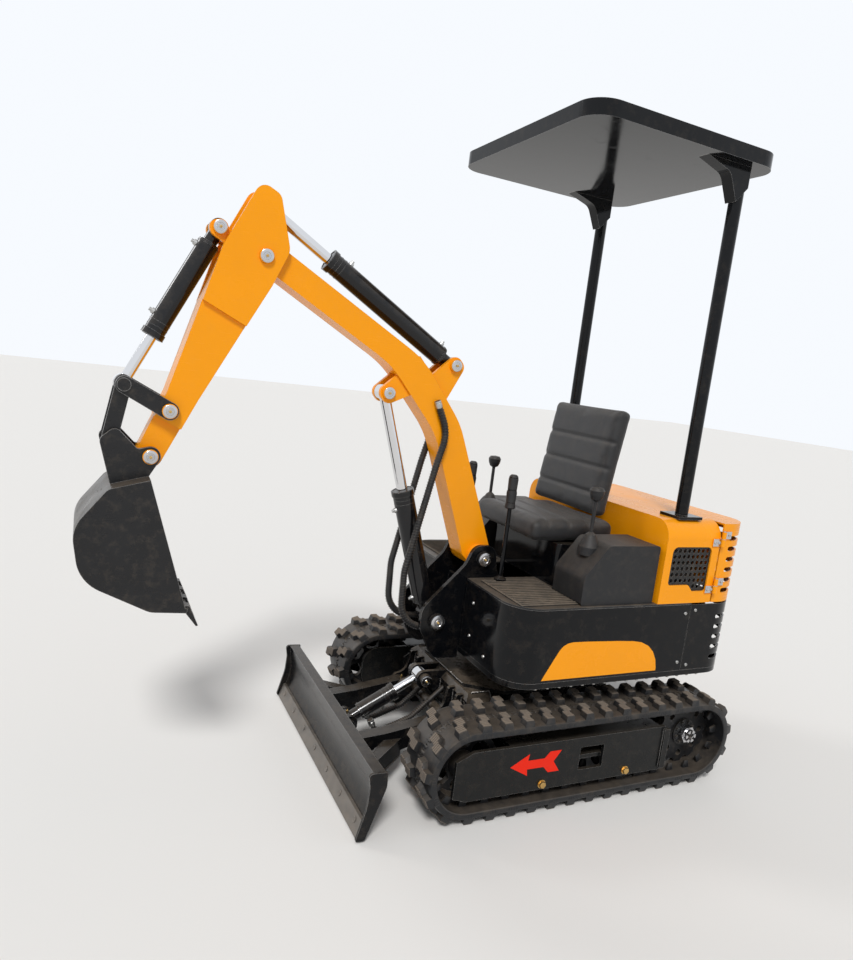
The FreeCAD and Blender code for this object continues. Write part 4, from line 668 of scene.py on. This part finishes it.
for body, x_in, x_out, levels in (
        ("house", -431, -395, (660, 820)), ("rear_door", -471, -435, (685.3, 845.3))):
    leaves = bmesh.new()
    for level in levels:
        middle = spot((x_in + x_out) / 2, 406.5, level + HINGE_HALF)
        block(leaves, (0.036, 0.0012, 0.025), Matrix.Translation(middle), 0.0004, 1)
        for x in (x_in + 9, x_out - 9):
            stamp(leaves, screw, seated(spot(x, 407, level + HINGE_HALF), (0, 1, 0)))
        knuckle = seated(spot(-433, 411, level + 2 * HINGE_HALF), (0, 0, 1))
        stamp(leaves, pin_head, knuckle @ Matrix.Diagonal((0.5, 0.5, 0.4, 1)))
    show(f"{body}_hinge_leaves", leaves, bright, body)
latch = bmesh.new()
block(latch, (0.006, 0.05, 0.09), Matrix.Translation(spot(-579, -150, 760)), 0.002, 2, 0.9)
block(latch, (0.009, 0.018, 0.05), Matrix.Translation(spot(-580, -150, 760)), 0.003, 2)
show("door_latch", latch, grille_black, "rear_door")

# --- Operator's place --------------------------------------------------------
# A ribbed rubber mat on the steel floor, a vinyl seat on its box, moulded consoles
# with joysticks, and two travel levers with grips.
floor_black = finish_of("floor_paint", (0.010, 0.010, 0.011), 0.34, tone=0.3, dust=0.3, wear=0.5,
                        bump=0.1)
dress(floor_black, "floor_plate")
dress(gloss_black, "seat_base", "travel_lever_left", "travel_lever_right", "canopy_post_left",
      "canopy_post_right", "canopy_roof")
plastic = finish_of("moulded_plastic", (0.014, 0.014, 0.015), 0.48, tone=0.2, dust=0.14, grain=1400.0,
                    bump=0.4)
dress(plastic, "console_left", "console_right")
mat_rubber = finish_of("floor_mat_rubber", (0.022, 0.022, 0.022), 0.66, tone=0.3, dust=0.5, grain=900.0,
                       bump=0.3)
MAT_RIB_STEP = 16
mat = bmesh.new()
for side in (1, -1):
    block(mat, (0.215, 0.25, 0.004), Matrix.Translation(spot(195, side * 252, 628)), 0.0015)
    for k in range(15):
        across = side * (140 + MAT_RIB_STEP * k)
        block(mat, (0.2, 0.006, 0.003), Matrix.Translation(spot(195, across, 631)), 0.001, 1)
show("floor_mats", mat, mat_rubber, "house")
grips = bmesh.new()
grip = pattern_of(turned((
    (0, 112), (9, 111), (14, 106), (16, 96), (15, 60), (17, 52), (15, 20), (18, 4), (14, 0), (0, 0)), 20))
for side in (1, -1):
    stamp(grips, grip, seated(spot(235, side * 136, 872), (0, 0, 1)))
show("lever_grips", grips, plastic, "house")

vinyl = finish_of("seat_vinyl", (0.018, 0.018, 0.019), 0.46, tone=0.2, dust=0.12, grain=1700.0, bump=0.5,
                  sheen=0.1)
FILLING_FRAMES, SEAM_REACH, SEAM_DEPTH = 20, 0.012, 0.006


def upholstered(name, node, size, corner, cap_mm, channels):
    """A stuffed pad: a slightly small block swollen by its filling, then stitched."""
    low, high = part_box(node)
    middle = (low + high) / 2
    shape = bmesh.new()
    block(shape, size, Matrix(), corner, 4)
    mesh = bpy.data.meshes.new(name)
    shape.to_mesh(mesh)
    shape.free()
    pad_piece = bpy.data.objects.new(name, mesh)
    bpy.context.scene.collection.objects.link(pad_piece)
    remesh = pad_piece.modifiers.new("voxels", "REMESH")
    remesh.mode = "VOXEL"
    remesh.voxel_size = 0.006
    view = bpy.context.evaluated_depsgraph_get()
    start = bpy.data.meshes.new_from_object(pad_piece.evaluated_get(view))
    pad_piece.modifiers.clear()
    pad_piece.data = start
    before = [vert.co.copy() for vert in start.vertices]
    cloth = pad_piece.modifiers.new("filling", "CLOTH")
    cloth.settings.use_pressure = True
    cloth.settings.uniform_pressure_force = 4
    cloth.settings.effector_weights.gravity = 0
    for step in range(1, FILLING_FRAMES + 1):
        bpy.context.scene.frame_set(step)
    view = bpy.context.evaluated_depsgraph_get()
    swollen = bpy.data.meshes.new_from_object(pad_piece.evaluated_get(view))
    pad_piece.modifiers.clear()
    pad_piece.data = swollen
    bpy.context.scene.frame_set(1)
    for vert, rest in zip(pad_piece.data.vertices, before):
        move = vert.co - rest
        if move.length > cap_mm / 1000:
            vert.co = rest + move.normalized() * cap_mm / 1000
    mesh = pad_piece.data
    for vert in mesh.vertices:
        if vert.co.z > 0:
            for line in channels:
                off = abs(vert.co.x - line / 1000)
                if off < SEAM_REACH:
                    vert.co.z -= SEAM_DEPTH * (1 + math.cos(math.pi * off / SEAM_REACH)) / 2
    mesh.materials.append(vinyl)
    mesh.shade_smooth()
    smoother = pad_piece.modifiers.new("smooth", "SUBSURF")
    smoother.levels = smoother.render_levels = 1
    return pad_piece, middle


cushion, middle = upholstered(
    "seat_cushion_cover", "seat_cushion", (0.334, 0.392, 0.064), 0.022, 6, (-60, 20, 100))
cushion.data.transform(Matrix.Translation(middle))
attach(cushion, "house")
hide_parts("seat_cushion")
backrest, middle = upholstered(
    "seat_backrest_cover", "seat_backrest", (0.372, 0.384, 0.05), 0.018, 6, (-110, -20, 70))
lean = Matrix.Rotation(math.radians(-98), 4, "Y") @ Matrix.Rotation(math.pi, 4, "X")
backrest.data.transform(Matrix.Translation(middle) @ lean)
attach(backrest, "house")
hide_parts("seat_backrest")

# --- Boom, arm and bucket ----------------------------------------------------
# Welded box sections in yellow with pins of plated steel, and a black bucket whose
# teeth and lip are scraped bright.
dress(yellow, "boom", "arm")
bucket_black = finish_of("bucket_paint", (0.010, 0.010, 0.011), 0.28, tone=0.35, spread=0.2, dust=0.24,
                         wear=0.7, edge=0.003, bump=0.14, blotch=12.0)
dress(bucket_black, "bucket", "bucket_rocker", "bucket_link")
BOOM_SLOPE, ARM_SLOPE = math.radians(47), math.radians(-65)


def along_boom(s, y, h):
    """A place s along the boom from its foot pin and h above its line."""
    return spot(280 + s * math.cos(BOOM_SLOPE) - h * math.sin(BOOM_SLOPE), y,
                690 + s * math.sin(BOOM_SLOPE) + h * math.cos(BOOM_SLOPE))


def along_arm(s, y, h):
    """A place s along the arm from its pin at the boom's tip and h off its line."""
    tip = along_boom(1150, 0, 0)
    return tip + Vector((s * math.cos(ARM_SLOPE) - h * math.sin(ARM_SLOPE), y,
                         s * math.sin(ARM_SLOPE) + h * math.cos(ARM_SLOPE))) / 1000


def pin_pair(shape, grease, place, y, scale):
    """Both ends of a cross pin, each with its grease nipple."""
    for side in (1, -1):
        where = seated(place(side * y), (0, side, 0))
        stamp(shape, pin_head, where @ Matrix.Diagonal((scale, scale, 1, 1)))
        stamp(grease, nipple, where @ Matrix.Translation((0, 0, 0.0035)))


boom_pins, boom_nipples = bmesh.new(), bmesh.new()
for s, h in ((630, 70), (560, 300)):
    pin_pair(boom_pins, boom_nipples, lambda y, s=s, h=h: along_boom(s, y, h), 46, 1.2)
show("boom_pin_heads", boom_pins, bright, "boom")
show("boom_grease_nipples", boom_nipples, brass, "boom")
arm_pins, arm_nipples = bmesh.new(), bmesh.new()
for s, h, y in ((0, 0, 71), (0, 134, 43), (490, 15, 73), (620, 0, 73)):
    pin_pair(arm_pins, arm_nipples, lambda y, s=s, h=h: along_arm(s, y, h), y, 1.2)
show("arm_pin_heads", arm_pins, bright, "arm")
show("arm_grease_nipples", arm_nipples, brass, "arm")

# --- Hoses -------------------------------------------------------------------
# Rubber pressure hoses held at both ends, with zinc crimped ends and a black plastic
# spiral guard that takes the rubbing. The blade's pair rides on its cylinder; the boom's
# pair rises from the house to the boom and stays where it is drawn.
hose_rubber = finish_of("hose_rubber", (0.016, 0.016, 0.017), 0.42, tone=0.2, dust=0.25, grain=1100.0,
                        bump=0.2)
dress(hose_rubber, *(f"{place}_hose_{hand}" for place in ("blade", "boom") for hand in ("left", "right")))
guard_plastic = finish_of("spiral_guard", (0.014, 0.014, 0.015), 0.28, tone=0.2, dust=0.22, bump=0.05)


def bent_route(marks):
    """Points every few millimetres along runs joined by round bends."""
    corners = [Vector(mark[:2]) for mark in marks]
    points = [corners[0]]
    for before, here, after, mark in zip(corners, corners[1:], corners[2:], marks[1:]):
        back, ahead = (before - here).normalized(), (after - here).normalized()
        half = back.angle(ahead) / 2
        reach = mark[2] / math.tan(half)
        middle = here + (back + ahead).normalized() * mark[2] / math.sin(half)
        first, last = here + back * reach - middle, here + ahead * reach - middle
        turn = first.angle_signed(last)
        for k in range(9):
            points.append(middle + Matrix.Rotation(-turn * k / 8, 2) @ first)
    points.append(corners[-1])
    return points


def round_piece(name, path, thick, finish, resolution=4, caps=True):
    """A round rubber or plastic run through the points of the path."""
    line = bpy.data.curves.new(name, "CURVE")
    line.dimensions = "3D"
    line.bevel_depth = thick
    line.bevel_resolution = resolution
    line.use_fill_caps = caps
    spline = line.splines.new("POLY")
    spline.points.add(len(path) - 1)
    for mark, place in zip(spline.points, path):
        mark.co = (*place, 1)
    holder = bpy.data.objects.new(name, line)
    bpy.context.scene.collection.objects.link(holder)
    mesh = bpy.data.meshes.new_from_object(holder.evaluated_get(bpy.context.evaluated_depsgraph_get()))
    bpy.data.objects.remove(holder)
    mesh.materials.clear()
    mesh.materials.append(finish)
    mesh.shade_smooth()
    made = bpy.data.objects.new(name, mesh)
    bpy.context.scene.collection.objects.link(made)
    return made


def flex(piece):
    """Bakes the placement of a boom hose or its guard into its mesh; it rides on no body."""
    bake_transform(piece)


TURN_STEPS = 10


def spiral(name, path, radius, start, stop, pitch=0.0075, inner=0.0):
    """A guard wound round a hose from one share of its run to another, flat towards the middle."""
    lengths = [0.0]
    for first, last in zip(path, path[1:]):
        lengths.append(lengths[-1] + (last - first).length)
    coil = []
    count = int(lengths[-1] * (stop - start) / pitch * TURN_STEPS)
    for k in range(count + 1):
        travel = lengths[-1] * (start + (stop - start) * k / count)
        i = max(j for j in range(len(lengths) - 1) if lengths[j] <= travel)
        share = (travel - lengths[i]) / max(lengths[i + 1] - lengths[i], 1e-9)
        axis = (path[i + 1] - path[i]).normalized()
        across = Vector((0, 1, 0))
        up = axis.cross(across).normalized()
        angle = 2 * math.pi * k / TURN_STEPS
        off = (across * math.cos(angle) + up * math.sin(angle)) * radius
        coil.append(path[i].lerp(path[i + 1], share) + off)
    for place in coil:
        place.y = math.copysign(max(abs(place.y), inner), place.y)
    return round_piece(name, coil, 0.0016, guard_plastic, resolution=1, caps=False)


BLADE_SLOPE, BLADE_HOSE_Y, BOOM_HOSE_Y = math.radians(152), 44, 56


def along_blade_cylinder(point, y):
    """A place given along the barrel's axis and above it."""
    x, h = point
    return spot(667 + x * math.cos(BLADE_SLOPE) - h * math.sin(BLADE_SLOPE), y,
                120 + x * math.sin(BLADE_SLOPE) + h * math.cos(BLADE_SLOPE))


bodies = frame["record"]["behaviour"]["bodies"]
hose_bodies = {node: body for body, nodes in bodies.items() for node in nodes}
blade_run = bent_route(((64, 20), (64, 74, 30), (190, 94, 60), (340, 59)))
boom_run = bent_route((
    (322.5, 390), (322.5, 450, 45), (540, 450, 90), (546, 640, 160), (478, 985, 260), (452, 1090, 120),
    (500, 1190)))
crimp = pattern_of(turned((
    (8.4, 0), (11, 0), (11, 5), (10, 6), (11, 7), (11, 20), (9.6, 24), (8.4, 24), (8.4, 0)), 18))
for hand, side in (("left", 1), ("right", -1)):
    body = hose_bodies[f"blade_hose_{hand}"]
    path = [along_blade_cylinder(point, side * BLADE_HOSE_Y) for point in blade_run]
    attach(spiral(f"blade_hose_guard_{hand}", path, 0.0088, 0.16, 0.78), body)
    crimps = bmesh.new()
    stamp(crimps, crimp, seated(path[0], path[1] - path[0]))
    show(f"blade_hose_crimp_{hand}", crimps, zinc, body)
    path = [spot(x, side * BOOM_HOSE_Y, z) for x, z in boom_run]
    boom_hose = round_piece(f"boom_hose_{hand}_flexing", path, 0.01, hose_rubber)
    flex(boom_hose)
    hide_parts(f"boom_hose_{hand}")
    ends = bmesh.new()
    stamp(ends, crimp, seated(path[-1], path[-2] - path[-1]))
    show(f"boom_hose_crimp_{hand}", ends, zinc, "boom")
    guard = spiral(f"boom_hose_guard_{hand}", path, 0.0108, 0.1, 0.97, pitch=0.009, inner=0.049)
    flex(guard)

# --- Studio ------------------------------------------------------------------
# A pale floor under a bright grey-blue sky, a wide soft sun at the left front and a weak
# one at the right, and a camera before the machine, low and tilted as the photographer's.
stage_mesh = bpy.data.meshes.new("floor")
shape = bmesh.new()
bmesh.ops.create_grid(shape, x_segments=1, y_segments=1, size=30)
shape.to_mesh(stage_mesh)
shape.free()
floor = bpy.data.objects.new("floor", stage_mesh)
floor.location.z = solid_box[0][2] - 0.0008
bpy.context.scene.collection.objects.link(floor)
pale = bpy.data.materials.new("pale_floor")
pale.use_nodes = True
concrete = pale.node_tree.nodes["Principled BSDF"].inputs
concrete["Base Color"].default_value = (0.78, 0.76, 0.73, 1)
concrete["Roughness"].default_value = 0.9
stage_mesh.materials.append(pale)

world = bpy.data.worlds.new("studio")
bpy.context.scene.world = world
world.use_nodes = True
tree = world.node_tree
rays = put(tree, "LightPath").outputs
seen = number_of(tree, rays["Is Camera Ray"], rays["Is Glossy Ray"])
seen = number_of(tree, seen, rays["Is Transmission Ray"], clamp=True)
power = put(tree, "MapRange", {0: seen, 1: 0.0, 2: 1.0, 3: 0.5, 4: 1.0}).outputs[0]
tree.links.new(power, tree.nodes["Background"].inputs["Strength"])
tree.nodes["Background"].inputs["Color"].default_value = (0.93, 0.96, 1.0, 1)
for name, where, strength in (("key", (1.3, 2.1, 2.8), 2.1), ("fill", (2.4, -2.2, 1.8), 0.5)):
    lamp = bpy.data.lights.new(name, "SUN")
    lamp.angle = math.radians(14)
    lamp.energy = strength
    holder = bpy.data.objects.new(name, lamp)
    holder.rotation_euler = (-Vector(where)).to_track_quat("-Z", "Y").to_euler()
    bpy.context.scene.collection.objects.link(holder)

SENSOR, PICTURE_HEIGHT, FOCAL_PIXELS, CLOSER = 36, 960, 524.8, 1.38
azimuth, elevation, roll = map(math.radians, (-116.1, -8.52, 6.79))
level = math.cos(elevation)
look = Vector((level * math.cos(azimuth), level * math.sin(azimuth), math.sin(elevation)))
right = look.cross(Vector((0, 0, 1))).normalized()
up = right.cross(look)
right, up = right * math.cos(roll) + up * math.sin(roll), up * math.cos(roll) - right * math.sin(roll)
camera = bpy.data.cameras.new("camera")
camera.sensor_fit = "VERTICAL"
camera.sensor_height = SENSOR
camera.lens = CLOSER * FOCAL_PIXELS * SENSOR / PICTURE_HEIGHT
camera.clip_start = 0.01
middle, distance = Vector((0.02, 0, 0.93)), 2.35
eye = bpy.data.objects.new("camera", camera)
facing = Matrix((right, up, -look)).transposed().to_4x4()
eye.matrix_world = Matrix.Translation(middle - look * distance) @ facing
bpy.context.scene.collection.objects.link(eye)
bpy.context.scene.camera = eye
bpy.context.scene.view_settings.view_transform = "Standard"
